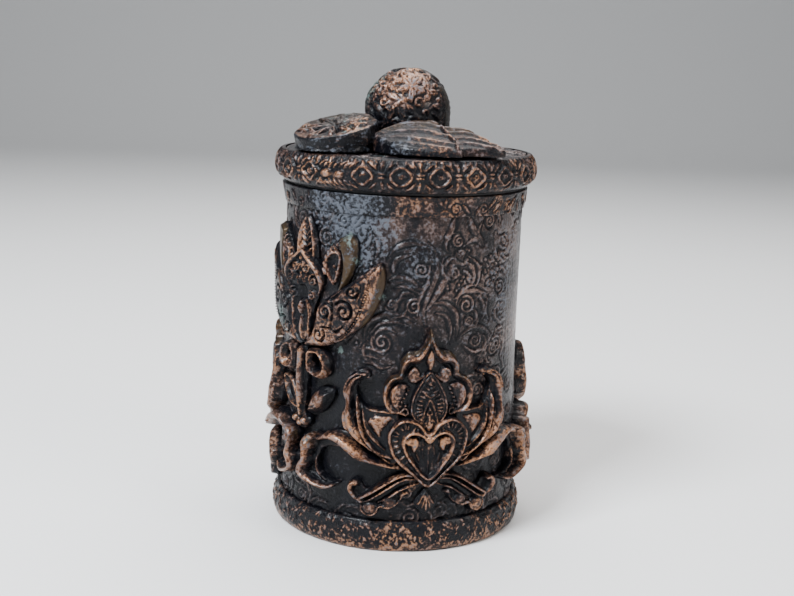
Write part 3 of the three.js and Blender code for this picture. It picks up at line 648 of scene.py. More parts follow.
lotus = {
    "bearings": {"front": 13.1, "right": 133.1, "left": 253.1}, "halfSpan": 46.0, "height": 65.0,
    "foot": 10.6,
    "plates": {
        "heart": {"edge": 3.3, "floor": 3.9, "rubBase": 0.05}, "frame": {"edge": 1.6, "floor": 1.9},
        "almond": {"edge": 2.6, "floor": 3.1, "rubBase": -0.22},
        "bud": {"edge": 1.4, "floor": 1.7, "rubBase": -0.35},
        "sidePetal": {"edge": 1.8, "floor": 2.4}, "scrollLeaf": {"edge": 1.8, "floor": 2.4},
        "lowerLeaf": {"edge": 1.4, "floor": 1.8, "rubBase": -0.05},
    },
    "heart": [
        (0, .475), (.06, .525), (.155, .55), (.23, .53), (.29, .475), (.285, .405), (.235, .33),
        (.125, .26), (0, .19)],
    "innerHeart": [(0, .43), (.05, .465), (.12, .475), (.175, .44), (.165, .385), (.11, .32), (0, .24)],
    "heartPad": [
        (.075, .405), (.07, .435), (.1, .455), (.15, .452), (.172, .43), (.155, .41), (.125, .405),
        (.115, .38), (.1, .375)],
    "heartVeins": [
        ("round", 0.7, 0.9, (.7, .4), [(.145, .4), (.125, .36), (.09, .32), (.05, .29)]),
        ("round", 0.7, 0.8, (.8, .4), [(.03, .41), (.045, .375), (.03, .33)]),
        ("round", 0.8, 0.9, (.9, .4), [(.085, .37), (.07, .34), (.06, .315)]),
    ],
    "heartMiddle": [
        ("round", 0.8, 0.9, (.5, 1), [(0, .25), (0, .33), (0, .42)]),
        ("flat", 2.6, 1.7, (.3, .3), [(-.03, .455), (0, .448), (.03, .455)]),
    ],
    "frame": [
        (0, 1), (.03, .94), (.08, .89), (.16, .88), (.215, .83), (.225, .77), (.3, .745), (.34, .69),
        (.33, .62), (.275, .57), (.2, .56), (0, .5)],
    "frameCrest": [
        (0, .972), (.02, .93), (.045, .893), (.07, .862), (.1, .847), (.151, .845), (.19, .824),
        (.21, .792), (.218, .762), (.262, .75), (.303, .718), (.319, .672), (.312, .62), (.288, .588),
        (.255, .567), (.2, .553)],
    "upperLobe": [
        (.03, .755), (.04, .775), (.075, .765), (.09, .795), (.12, .805), (.15, .775), (.155, .735),
        (.11, .72), (.07, .735)],
    "lowerLobe": [
        (.2, .725), (.24, .72), (.268, .69), (.275, .65), (.262, .61), (.23, .585), (.21, .575),
        (.215, .61), (.2, .64), (.18, .66), (.17, .69), (.15, .71)],
    "lobeCrests": [
        ("round", 1.5, 2.2, (.5, .5), [(.152, .745), (.15, .772), (.12, .797), (.092, .786), (.08, .765)]),
        ("round", 1.8, 2.3, (.3, .5), [
            (.165, .704), (.22, .714), (.256, .69), (.266, .65), (.25, .608), (.225, .588)]),
    ],
    "topLeaf": [
        (0, .9), (.03, .865), (.032, .83), (.012, .79), (0, .785), (-.012, .79), (-.032, .83),
        (-.03, .865)],
    # a row of beads beside the lower lobe: first place, step to the next, count, radius, height
    "beads": {"first": (.155, .69), "step": (.014, -.021), "count": 5, "radius": 0.5, "height": 1.9},
    "almond": [(0, .79), (.07, .735), (.12, .67), (.14, .61), (.13, .56), (.08, .51), (0, .46)],
    "almondVeins": [
        ("round", 0.8, 1.0, (1, 1), [(.064, .52), (.045, .565), (.033, .598), (0, .652)]),
        ("round", 0.8, 1.0, (.5, 1), [(.055, .688), (.03, .668), (0, .655)]),
        ("round", 0.7, 0.9, (1, 1), [(0, .60), (.018, .572), (0, .566)]),
        ("round", 0.6, 0.8, (.5, .8), [(.045, .5), (.02, .53), (0, .56)]),
    ],
    "sidePetal": [
        (.22, .57), (.37, .58), (.46, .59), (.52, .635), (.535, .695), (.485, .735), (.435, .74),
        (.445, .77), (.52, .78), (.595, .74), (.63, .67), (.6, .6), (.635, .54), (.62, .485), (.56, .455),
        (.47, .4), (.37, .35), (.22, .31)],
    "petalFolds": [
        ("flat", 1.6, 3.4, (.4, .5), [
            (.26, .3), (.38, .327), (.47, .368), (.545, .43), (.588, .482), (.606, .54), (.6, .6),
            (.612, .665), (.59, .722), (.53, .757), (.465, .757)]),
        ("square", 3.5, 4.0, (.4, .4), [
            (.28, .31), (.376, .34), (.46, .388), (.52, .45), (.558, .51), (.575, .57), (.582, .63),
            (.578, .685), (.548, .728), (.5, .745)]),
        ("groove", 0.7, 1.0, (.3, .4), [
            (.36, .345), (.45, .4), (.51, .462), (.54, .52), (.553, .58), (.556, .64), (.546, .69),
            (.515, .72)]),
        ("round", 1.3, 3.0, (.5, .5), [
            (.255, .338), (.342, .357), (.423, .404), (.475, .465), (.5, .535), (.512, .6), (.522, .66),
            (.507, .705), (.472, .732), (.44, .742)]),
        ("round", 1.2, 2.2, (.5, .3), [(.31, .38), (.398, .437), (.452, .5), (.474, .56), (.492, .61)]),
        ("round", 1.0, 1.6, (.5, .4), [(.24, .568), (.36, .577), (.45, .588), (.505, .635)]),
    ],
    "web": [
        (.44, .515), (.4, .545), (.33, .55), (.27, .545), (.29, .52), (.335, .475), (.35, .445),
        (.375, .455)],
    "webGroove": [("groove", 0.5, 0.5, (.3, .6), [(.36, .505), (.345, .475), (.335, .45)])],
    "scrollLeaf": [
        (.22, .3), (.39, .335), (.49, .39), (.56, .44), (.64, .455), (.74, .445), (.82, .405), (.91, .41),
        (.965, .37), (.95, .3), (1, .25), (.99, .2), (.93, .165), (.79, .13), (.71, .14), (.65, .175),
        (.75, .18), (.82, .215), (.845, .27), (.82, .325), (.75, .355), (.64, .36), (.51, .325),
        (.22, .275)],
    "scrollFolds": [
        ("flat", 4.2, 4.3, (.3, .7), [
            (.24, .288), (.358, .307), (.465, .335), (.558, .383), (.65, .417), (.735, .422), (.81, .402)]),
        ("groove", 0.6, 0.9, (.4, .3), [(.3, .296), (.42, .318), (.52, .352), (.6, .385)]),
        ("round", 1.1, 3.2, (.5, .4), [
            (.3, .283), (.446, .297), (.538, .318), (.605, .337), (.695, .347), (.779, .334), (.832, .3),
            (.846, .255), (.822, .208), (.76, .176)]),
        ("blunt", 4.0, 4.5, (.8, .4), [
            (.85, .398), (.905, .388), (.94, .35), (.93, .305), (.918, .268), (.95, .235), (.962, .2),
            (.93, .178), (.865, .157), (.8, .145), (.73, .148), (.69, .163)]),
        ("round", 4.6, 4.7, (.7, .4), [(.9, .385), (.91, .345), (.93, .32)]),
        ("groove", 1.3, 1.0, (.5, .5), [
            (.835, .38), (.86, .345), (.888, .3), (.885, .25), (.87, .205), (.81, .172)]),
        ("groove", 0.9, 1.8, (.8, .6), [(.812, .43), (.835, .405), (.842, .37)]),
    ],
    "lowerLeaf": [
        (.1, .255), (.22, .25), (.31, .215), (.4, .17), (.45, .165), (.5, .205), (.56, .205),
        (.575, .165), (.53, .115), (.49, .095), (.485, .05), (.42, .02), (.355, .035), (.33, .07),
        (.27, .065), (.2, .095), (.16, .14), (.1, .155), (.04, .2)],
    "lowerFolds": [
        ("blunt", 1.9, 3.2, (.5, .8), [
            (.08, .245), (.157, .252), (.234, .237), (.319, .198), (.414, .148), (.48, .118)]),
        ("round", 1.3, 2.6, (.5, .7), [
            (.08, .228), (.15, .23), (.215, .213), (.318, .163), (.404, .118), (.462, .098)]),
        ("round", 1.2, 2.1, (.5, .5), [(.06, .206), (.136, .19), (.196, .173), (.264, .138), (.35, .1)]),
        ("blunt", 3.4, 3.4, (.7, .6), [
            (.512, .192), (.545, .188), (.56, .16), (.545, .126), (.505, .104), (.465, .102)]),
        ("round", 1.1, 2.2, (.7, .5), [
            (.478, .09), (.468, .052), (.415, .032), (.362, .048), (.338, .083), (.27, .078),
            (.205, .105), (.165, .15)]),
    ],
    # lobes under the lower leaf: place, half width in millimetres, height
    "lowerLobes": [(.405, .07, 3.0, 2.2), (.262, .105, 2.7, 1.9), (.16, .148, 2.0, 1.4)],
    "bud": [(0, .175), (.04, .15), (.085, .11), (.075, .08), (.04, .055), (0, .035)],
    "budRibs": (-.06, -.03, 0, .03, .06),
    # soft spots of copper or gilt: strength, place, reach across and up
    "heartGlow": [(.35, .12, .425, 2.6, 2.4)], "heartTop": [(.4, 0, .45, 1.6, 1.6)],
    "frameGlow": [(.35, .12, .77, 1.8, 2), (.35, .25, .66, 1.8, 4)], "frameTop": [(.5, 0, .845, 1.2, 2.6)],
    "frameShade": [(.35, .19, .65, 2.4, 3.5)],
    "petalGlow": [(-.15, .6, .58, 5, 5), (.15, .5, .43, 6, 5)],
    "scrollGlow": [(.35, .905, .36, 4, 5), (.3, .87, .15, 6, 2.5), (.15, .6, .39, 12, 4)],
    "scrollGilt": [(.4, .92, .37, 4, 4)],
}
lotusWhole = Spray(lotus)
lotusHalves = [Spray(lotus, sign) for sign in (-1, 1)]


def lotusHeart():
    heart, inner = lotusWhole.outline("heart"), lotusWhole.outline("innerHeart")

    def carve(relief, depth):
        rims(relief, heart, [(0.7, 1.2, 1.4, "flat")])
        hatch(relief, heart, 1.6, 3.4, 34)
        relief.ridge(inner, 1.5, 1.7, closed=True)
        for half in lotusHalves:
            pad(relief, half.outline("heartPad"), 1.6, 0.8)
            half.draw(relief, "heartVeins")
        lotusWhole.draw(relief, "heartMiddle")
        return -0.7 * ease(depthInside(relief.points, inner), 0.2, 1.0)

    def paint(flat, depth):
        hatched = ease(depth, 1.3, 1.7) * (1 - ease(depth, 3.3, 3.8))
        within = ease(depthInside(flat, inner), 1.0, 1.6)
        glow = sum(half.spots(flat, "heartGlow") for half in lotusHalves)
        return glow + lotusWhole.spots(flat, "heartTop") - 0.3 * hatched - 0.2 * within, 0

    return lotusWhole.plate("heart", carve, paint)


def lotusFrame():
    beads = lotus["beads"]

    def carve(relief, depth):
        for half in lotusHalves:
            crest = half.line(lotus["frameCrest"])
            relief.ridge(crest, 3.6, 1.5, power=domes["flat"])
            relief.ridge(crest, 1.9, 2.6, power=domes["blunt"])
            pad(relief, half.outline("upperLobe"), 1.3)
            pad(relief, half.outline("lowerLobe"), 1.4)
            half.draw(relief, "lobeCrests")
            for k in range(beads["count"]):
                x, y = np.array(beads["first"]) + k * np.array(beads["step"])
                relief.boss(half.at(x, y), beads["radius"], beads["height"])
            relief.boss(half.at(.173, .609), 0.7, 1.6)
            relief.ridge(ringLine(half.at(.174, .576), 1.1), 0.7, 1.5)
            pad(relief, half.outline("topLeaf"), 1.9, 1.2)
        return 0

    def paint(flat, depth):
        outside = 1 - ease(depth, 0.9, 1.7)
        rub = sum(half.spots(flat, "frameGlow") for half in lotusHalves)
        rub += lotusWhole.spots(flat, "frameTop")
        rub -= sum(half.spots(flat, "frameShade") for half in lotusHalves)
        return rub + 0.15 * outside, 0.55 * outside * ease(flat[:, 1] / lotus["height"], .62, .72)

    return lotusWhole.plate("frame", carve, paint)


def lotusAlmond():
    almond = lotusWhole.outline("almond")

    def carve(relief, depth):
        rims(relief, almond, [(0.5, 0.9, 0.8, "round"), (1.6, 0.6, 0.6, "round")])
        hatch(relief, almond, 2.1, 3.8, 30)
        for half in lotusHalves:
            half.draw(relief, "almondVeins")
        relief.ridge(lotusWhole.line([(0, .50), (0, .57)]), 0.9, 1.0)
        relief.boss(lotusWhole.at(0, .722), 0.7, 1.0)
        return 0.4 * ease(depth, 0, 4)

    return lotusWhole.plate("almond", carve)


def lotusBud():
    def carve(relief, depth):
        for x in lotus["budRibs"]:
            ends = [lotusWhole.at(0, .165), lotusWhole.at(x, .06 + abs(x) * .6)]
            relief.ridge(np.array(ends), 0.8, 0.9, (.4, 1))
        return 0.9 * ease(depth, 0, 3)

    return lotusWhole.plate("bud", carve)


def lotusSidePetal(half):
    web = half.outline("web")

    def carve(relief, depth):
        half.draw(relief, "petalFolds")
        pad(relief, web, 0.9, 2.2)
        half.draw(relief, "webGroove")
        return -0.8 * near(relief.points, half.at(.42, .67), 4, 6)

    def paint(flat, depth):
        webbed = ease(depthInside(flat, web), -0.8, 0.9)
        return 0.55 * webbed + half.spots(flat, "petalGlow"), 0

    return half.plate("sidePetal", carve, paint)


def lotusScrollLeaf(half):
    def carve(relief, depth):
        half.draw(relief, "scrollFolds")
        return 0

    def paint(flat, depth):
        return half.spots(flat, "scrollGlow"), half.spots(flat, "scrollGilt")

    return half.plate("scrollLeaf", carve, paint)


def lotusLowerLeaf(half):
    def carve(relief, depth):
        half.draw(relief, "lowerFolds")
        for x, y, across, high in lotus["lowerLobes"]:
            pad(relief, ringLine(half.at(x, y), across, across * 0.85)[:-1], high, 2.4)
        return 0

    return half.plate("lowerLeaf", carve)


def snake(name):
    return "".join("_" + c.lower() if c.isupper() else c for c in name).strip("_")


lotusPieces = {"Heart": lotusHeart(), "Frame": lotusFrame(), "Almond": lotusAlmond(), "Bud": lotusBud()}
for half, sideName in zip(lotusHalves, ("Left", "Right")):
    lotusPieces["SidePetal" + sideName] = lotusSidePetal(half)
    lotusPieces["ScrollLeaf" + sideName] = lotusScrollLeaf(half)
    lotusPieces["LowerLeaf" + sideName] = lotusLowerLeaf(half)
for meshName, flatMesh in lotusPieces.items():
    for place, bearing in lotus["bearings"].items():
        mesh = bent(flatMesh, math.radians(bearing), lotus["foot"])
        marksOn(mesh)
        addPiece(place + "Lotus" + meshName, mesh, "jar", carvedClay,
                 [f"{place}_lotus_{snake(meshName)}"])
print("lotus sprays carved")


# Blossom spray

blossom = {
    # dusty is the blossom's share of the dust and painted reflection
    "bearing": -48.4, "halfSpan": 32.0, "height": 72.0, "foot": 37.0, "dusty": 0.3,
    "plates": {
        "bud": {"edge": 1.8, "floor": 2.6, "rubBase": 0.2},
        "centrePetal": {"edge": 2.4, "floor": 2.6, "rubBase": -0.1}, "tallPetal": {"edge": 1.1, "floor": 1.2},
        "stem": {"edge": 1.6, "floor": 2.3, "rubBase": 0.02},
        "broadPetal": {"edge": 2.0, "floor": 3.4, "rubBase": 0, "shoulder": 1.8, "voxel": 0.27},
        "middlePetal": {"edge": 1.3, "floor": 1.5, "shoulder": 1.4},
        "bow": {"edge": 1.8, "floor": 3.9, "rubBase": 0, "shoulder": 1.6},
        "stemLeaf": {"edge": 1.2, "floor": 2.0, "rubBase": 0, "shoulder": 1.8},
    },
    "bud": [(0, .62), (.045, .6), (.06, .55), (.06, .47), (.035, .43), (0, .415)],
    "budRidges": [
        ("round", 2.6, 2.3, (.7, .7), [(0, .6), (0, .575), (0, .555)]),
        ("round", 1.4, 1.7, (.7, .5), [(0, .535), (0, .48), (0, .43)]),
    ],
    "centrePetal": [
        (0, .85), (.11, .825), (.22, .795), (.3, .75), (.31, .705), (.25, .65), (.17, .58), (.15, .5),
        (.1, .44), (0, .41)],
    "centreRidges": [
        ("flat", 2.3, 2.3, (.8, .6), [
            (0, .843), (.08, .815), (.16, .79), (.24, .76), (.284, .72), (.288, .68), (.25, .645)]),
        ("round", 1.0, 1.8, (1, 1), [(.11, .44), (.13, .5), (.14, .56), (.11, .62)]),
    ],
    # curls: place, radius, turns, first direction, hand, height
    "centreCurls": [(.19, .712, 2.3, 1.4, 30, 1, 1.6), (.16, .64, 1.7, 1.2, 110, -1, 1.5),
                    (.09, .765, 1.8, 1.2, 200, 1, 1.5)],
    "centreGroove": [("groove", 6.4, 2.4, (.8, .6), [(0, .65), (0, .56), (0, .43)])],
    "centreTwigs": 9,
    "tallPetal": [(0, 1), (.08, .97), (.15, .9), (.18, .83), (.15, .76), (0, .74)],
    "tallRim": [
        ("blunt", 1.6, 1.4, (.5, 1), [(.02, .985), (.075, .95), (.115, .9), (.135, .84), (.12, .78)]),
    ],
    "tallPad": [(.03, .8), (.03, .85), (.09, .87), (.12, .83), (.1, .79)],
    "tallRibs": {"count": 6, "lowest": 0.8, "step": 0.027},
    "stem": [
        (0, .39), (.06, .39), (.055, .14), (.04, .115), (.05, .075), (.14, .06), (.13, .03), (.05, .005),
        (0, 0)],
    "stemRidges": [
        ("blunt", 3.0, 2.7, (.9, .8), [(0, .38), (0, .26), (0, .13)]),
        ("round", 1.6, 1.8, (.6, .8), [(0, .13), (0, .07)]),
    ],
    # berries at its foot: place, radius, height
    "berries": [(.07, .045, 1.7, 2.0), (-.07, .048, 1.7, 2.1), (0, .03, 1.6, 1.8)],
    "broadPetal": [
        (.02, .4), (.17, .405), (.35, .42), (.57, .465), (.75, .52), (.88, .59), (.97, .68), (1, .75),
        (.96, .82), (.82, .79), (.65, .73), (.49, .685), (.33, .635), (.22, .59), (.19, .54), (.14, .47),
        (.06, .425)],
    "petalGroove": [
        (.3, .42), (.435, .446), (.569, .481), (.692, .545), (.765, .621), (.82, .695), (.85, .75),
        (.885, .79)],
    # scrolls pressed into the petal's field: place, radius, turns, first direction, hand, how far its
    # middle stays open, width, depth
    "broadScrolls": [
        (.342, .581, 3.1, 1.55, 37, 1, 0.1, 1.1, 1.3), (.571, .591, 3.7, 1.6, 143, -1, 0.1, 1.2, 1.4),
        (.262, .468, 2.8, 1.35, 40, -1, 0.15, 1.2, 1.4), (.655, .685, 2.3, 1.3, 20, -1, 0.15, 1.0, 1.2),
    ],
    "broadGrooves": [
        ("groove", 1.2, 1.3, (.9, .6), [(.435, .625), (.44, .585), (.434, .55), (.42, .512)]),
        ("groove", 1.0, 1.3, (.9, .6), [
            (.3, .505), (.37, .508), (.42, .505), (.47, .495), (.53, .51), (.565, .527)]),
        ("groove", 1.3, 1.3, (.9, .6), [(.425, .641), (.475, .655), (.525, .68)]),
        ("groove", 0.6, 0.7, (.9, .6), [(.7, .655), (.745, .69), (.76, .735)]),
        ("groove", 0.5, 0.5, (.9, .6), [(.73, .645), (.775, .69), (.795, .745)]),
        ("groove", 0.5, 0.5, (.9, .6), [(.24, .6), (.36, .64), (.5, .685), (.7, .735), (.86, .785)]),
    ],
    "middlePetal": [
        (.1, .5), (.2, .6), (.26, .7), (.26, .79), (.32, .85), (.43, .9), (.55, .93), (.65, .93),
        (.69, .885), (.68, .82), (.63, .75), (.5, .66), (.3, .55)],
    "middleGroove": [(.47, .69), (.5, .745), (.515, .79), (.5, .84), (.465, .89)],
    "middleRidges": [
        ("blunt", 1.1, 1.5, (1, 1), [
            (.421, .709), (.345, .75), (.315, .8), (.352, .833), (.425, .85), (.49, .838), (.483, .785),
            (.44, .72)]),
        ("round", 0.7, 1.1, (1, 1), [(.44, .765), (.455, .74), (.43, .72)]),
    ],
    "middleTwigs": [
        (.275, .77), (.278, .8), (.3, .83), (.33, .852), (.368, .87), (.41, .882), (.455, .888)],
    "bow": [
        (.1, .385), (.2, .4), (.31, .395), (.385, .365), (.41, .325), (.385, .285), (.3, .26), (.2, .265),
        (.1, .295)],
    "bowHole": [(.175, .36), (.165, .33), (.2, .3), (.28, .3), (.315, .33), (.27, .362), (.22, .37)],
    "stemLeaf": [(.08, .085), (.24, .09), (.38, .135), (.46, .215), (.28, .225), (.14, .175), (.08, .115)],
    "leafGroove": [("groove", 0.8, 0.8, (.6, .3), [(.12, .115), (.2, .125), (.28, .15)])],
    # soft spots of copper: strength, place, reach across and up
    "centreGlow": [(.25, .27, .71, 3, 4)], "broadGlow": [(1, .3, .44, 9, 3), (.6, .85, .72, 4, 7)],
    "bowGlow": [(.4, .33, .28, 5, 4)], "leafGlow": [(.75, .26, .165, 4.5, 3.0), (-.3, .42, .19, 4, 4)],
}
blossomWhole = Spray(blossom)
blossomHalves = [Spray(blossom, sign) for sign in (-1, 1)]


def beyond(line, flat, reach=30.0):
    # how far past a line a point lies in millimetres: above 0 on its right, below 0 on its left
    chosen, _, share = Relief(flat).nearest(line, reach)
    along = np.zeros(len(flat))
    along[chosen] = share
    steps = np.concatenate([[0], np.cumsum(np.linalg.norm(np.diff(line, axis=0), axis=1))])
    steps /= steps[-1]
    foot = np.column_stack([np.interp(along, steps, line[:, k]) for k in (0, 1)])
    ahead = np.clip(along + 0.01, 0, 1)
    way = np.column_stack([np.interp(ahead, steps, line[:, k]) - np.interp(ahead - 0.02, steps, line[:, k])
                           for k in (0, 1)])
    away = flat - foot
    return (way[:, 1] * away[:, 0] - way[:, 0] * away[:, 1]) / np.maximum(np.hypot(*way.T), 1e-9)


def blossomBud():
    def carve(relief, depth):
        blossomWhole.draw(relief, "budRidges")
        return 0

    return blossomWhole.plate("bud", carve)


def blossomCentrePetal():
    def carve(relief, depth):
        draw = random.Random(71)
        for half in blossomHalves:
            half.draw(relief, "centreRidges")
            for *curl, height in blossom["centreCurls"]:
                relief.ridge(half.curl(*curl), 0.8, height)
            for _ in range(blossom["centreTwigs"]):
                x, y = draw.uniform(0.0, .2), draw.uniform(.67, .8)
                lean = draw.uniform(-.03, .03)
                twig = [(x, y), (x + lean, y + .018), (x + lean * .4, y + .036)]
                relief.ridge(half.line(twig), 0.6, 1.3, (.6, .5))
        blossomWhole.draw(relief, "centreGroove")
        return 0.3 * ease(depth, 0, 3)

    def paint(flat, depth):
        return blossomHalves[1].spots(flat, "centreGlow") - 0.3 * ease(-flat[:, 0], 0, 3), 0

    return blossomWhole.plate("centrePetal", carve, paint)


def blossomTallPetal():
    ribs = blossom["tallRibs"]

    def carve(relief, depth):
        for half in blossomHalves:
            half.draw(relief, "tallRim")
            for k in range(ribs["count"]):
                y = ribs["lowest"] + ribs["step"] * k
                relief.ridge(np.array([half.at(.025, y), half.at(.085 - .006 * k, y + .02)]), 0.8, 1.1)
        pad(relief, blossomHalves[0].outline("tallPad"), 1.4)
        return 0

    def paint(flat, depth):
        left = ease(-flat[:, 0], -0.3, 1.2)
        return 0.35 * left - 0.25 * (1 - left), 0

    return blossomWhole.plate("tallPetal", carve, paint)


def blossomStem():
    def carve(relief, depth):
        blossomWhole.draw(relief, "stemRidges")
        for x, y, radius, high in blossom["berries"]:
            relief.boss(blossomWhole.at(x, y), radius, high)
        return 0

    return blossomWhole.plate("stem", carve)


def blossomBroadPetal(half):
    rim = half.line(blossom["petalGroove"])

    def carve(relief, depth):
        relief.groove(rim, 1.1, 1.5, (.5, .6))
        for bead in rim[:-1]:
            relief.boss(bead, 0.3, 0.5)
        for *curl, width, deep in blossom["broadScrolls"]:
            relief.groove(half.curl(*curl), width, deep, (.9, .6))
        half.draw(relief, "broadGrooves")
        return 0.5 * ease(depth, 0.2, 2.2)

    def paint(flat, depth):
        past = beyond(rim, flat) * half.sign
        rimmed = ease(past, -0.2, 0.3)
        field = (1 - rimmed) * ease(depth, 0.1, 0.9)
        khaki = rimmed * ease(past, 1.2, 3.4)
        copper = 0.1 * field + 0.3 * rimmed * (1 - khaki) + 0.4 * half.spots(flat, "broadGlow")
        # the left petal lies in the darker half
        return copper - (0.3 if half.sign < 0 else 0), 0.8 * khaki

    return half.plate("broadPetal", carve, paint)


def blossomMiddlePetal(half):
    fold = half.line(blossom["middleGroove"])

    def carve(relief, depth):
        half.draw(relief, "middleRidges")
        for x, y in blossom["middleTwigs"]:
            relief.ridge(np.array([half.at(x, y), half.at(x + .035, y - .022)]), 0.95, 1.6)
        relief.boss(half.at(.415, .785), 0.7, 1.2)
        relief.groove(fold, 1.0, 1.0)
        past = beyond(fold, relief.points) * half.sign
        return 1.5 * ease(past, -0.2, 1.2) * ease(depth, 0, 1.4)

    def paint(flat, depth):
        past = ease(beyond(fold, flat) * half.sign, -0.1, 0.6)
        return 0.2 * half.sign * (1 - past), 0.7 * past

    return half.plate("middlePetal", carve, paint)


def blossomBowLoop(half):
    def carve(relief, depth):
        return 1.6 * ease(depth, 0.4, 1.9)

    def paint(flat, depth):
        return half.spots(flat, "bowGlow") + 0.2, 0

    return half.plate("bow", carve, paint, hole=half.outline("bowHole"))


def blossomStemLeaf(half):
    # the left leaf is only an outline, the right one a full leaf
    outlined = half.sign < 0

    def carve(relief, depth):
        half.draw(relief, "leafGroove")
        return 0.6 - 1.8 * ease(depth, 0.8, 1.4) if outlined else 2.6 * ease(depth, 0, 3.4)

    def paint(flat, depth):
        return 0.15 * (1 - ease(depth, 0.6, 1.2)) if outlined else half.spots(flat, "leafGlow"), 0

    return half.plate("stemLeaf", carve, paint)


blossomPieces = {"Bud": blossomBud(), "CentrePetal": blossomCentrePetal(), "TallPetal": blossomTallPetal(),
                 "Stem": blossomStem()}
for half, sideName in zip(blossomHalves, ("Left", "Right")):
    blossomPieces["BroadPetal" + sideName] = blossomBroadPetal(half)
    blossomPieces["MiddlePetal" + sideName] = blossomMiddlePetal(half)
    blossomPieces["BowLoop" + sideName] = blossomBowLoop(half)
    blossomPieces["StemLeaf" + sideName] = blossomStemLeaf(half)
for meshName, flatMesh in blossomPieces.items():
    mesh = bent(flatMesh, math.radians(blossom["bearing"]), blossom["foot"])
    marksOn(mesh, blossom["dusty"])
    addPiece("blossom" + meshName, mesh, "jar", carvedClay, [f"blossom_{snake(meshName)}"])
print("blossom spray carved")


# Stamped wall

def waver(points, size, seed):
    # slow unevenness from -1 to 1, size millimetres from hump to hump
    draw = np.random.default_rng(seed)
    total = np.zeros(len(points))
    waves = 7
    for _ in range(waves):
        direction = draw.normal(size=points.shape[1])
        direction /= np.linalg.norm(direction)
        pitch = size * draw.uniform(0.8, 1.6)
        total += np.sin(points @ direction * fullTurn / pitch + draw.uniform(0, fullTurn))
    return total / waves


def scroll(centre, radius, turn, hand=1, width=1.0, leaves=3):
    # the marks of a spiral with curved leaves that sweep away from it
    marks = [(spiralLine(centre, radius, 1.7, turn, hand), width, (1, 1))]
    for k in range(leaves):
        start = turn + hand * (0.5 + 0.75 * k)
        bend = [(1.25 + 0.12 * k, 0.0), (1.75 + 0.15 * k, 0.35), (2.1 + 0.2 * k, 0.85), (2.0 + 0.25 * k, 1.3)]
        leaf = [(centre[0] + radius * far * math.cos(start + hand * way),
                 centre[1] + radius * far * math.sin(start + hand * way)) for far, way in bend]
        marks.append((smoothLine(leaf), width * 1.5, (.4, .3)))
    return marks


def bead(u, z, far, way, width):
    # the mark of a small bead, at a distance and in a direction from a place
    place = np.array([u + far * math.cos(way), z + far * math.sin(way)])
    return np.array([place, place + 0.05]), width, (1, 1)


def stamp(relief, marks, height, depth, moat=1.5):
    # each mark stands in a hollow of its own, as a stamp leaves it
    for line, width, taper in marks:
        relief.furrow(line, width + moat, depth, taper)
    for line, width, taper in marks:
        relief.ridge(line, width, height, taper, power=domes["blunt"], base=-depth)


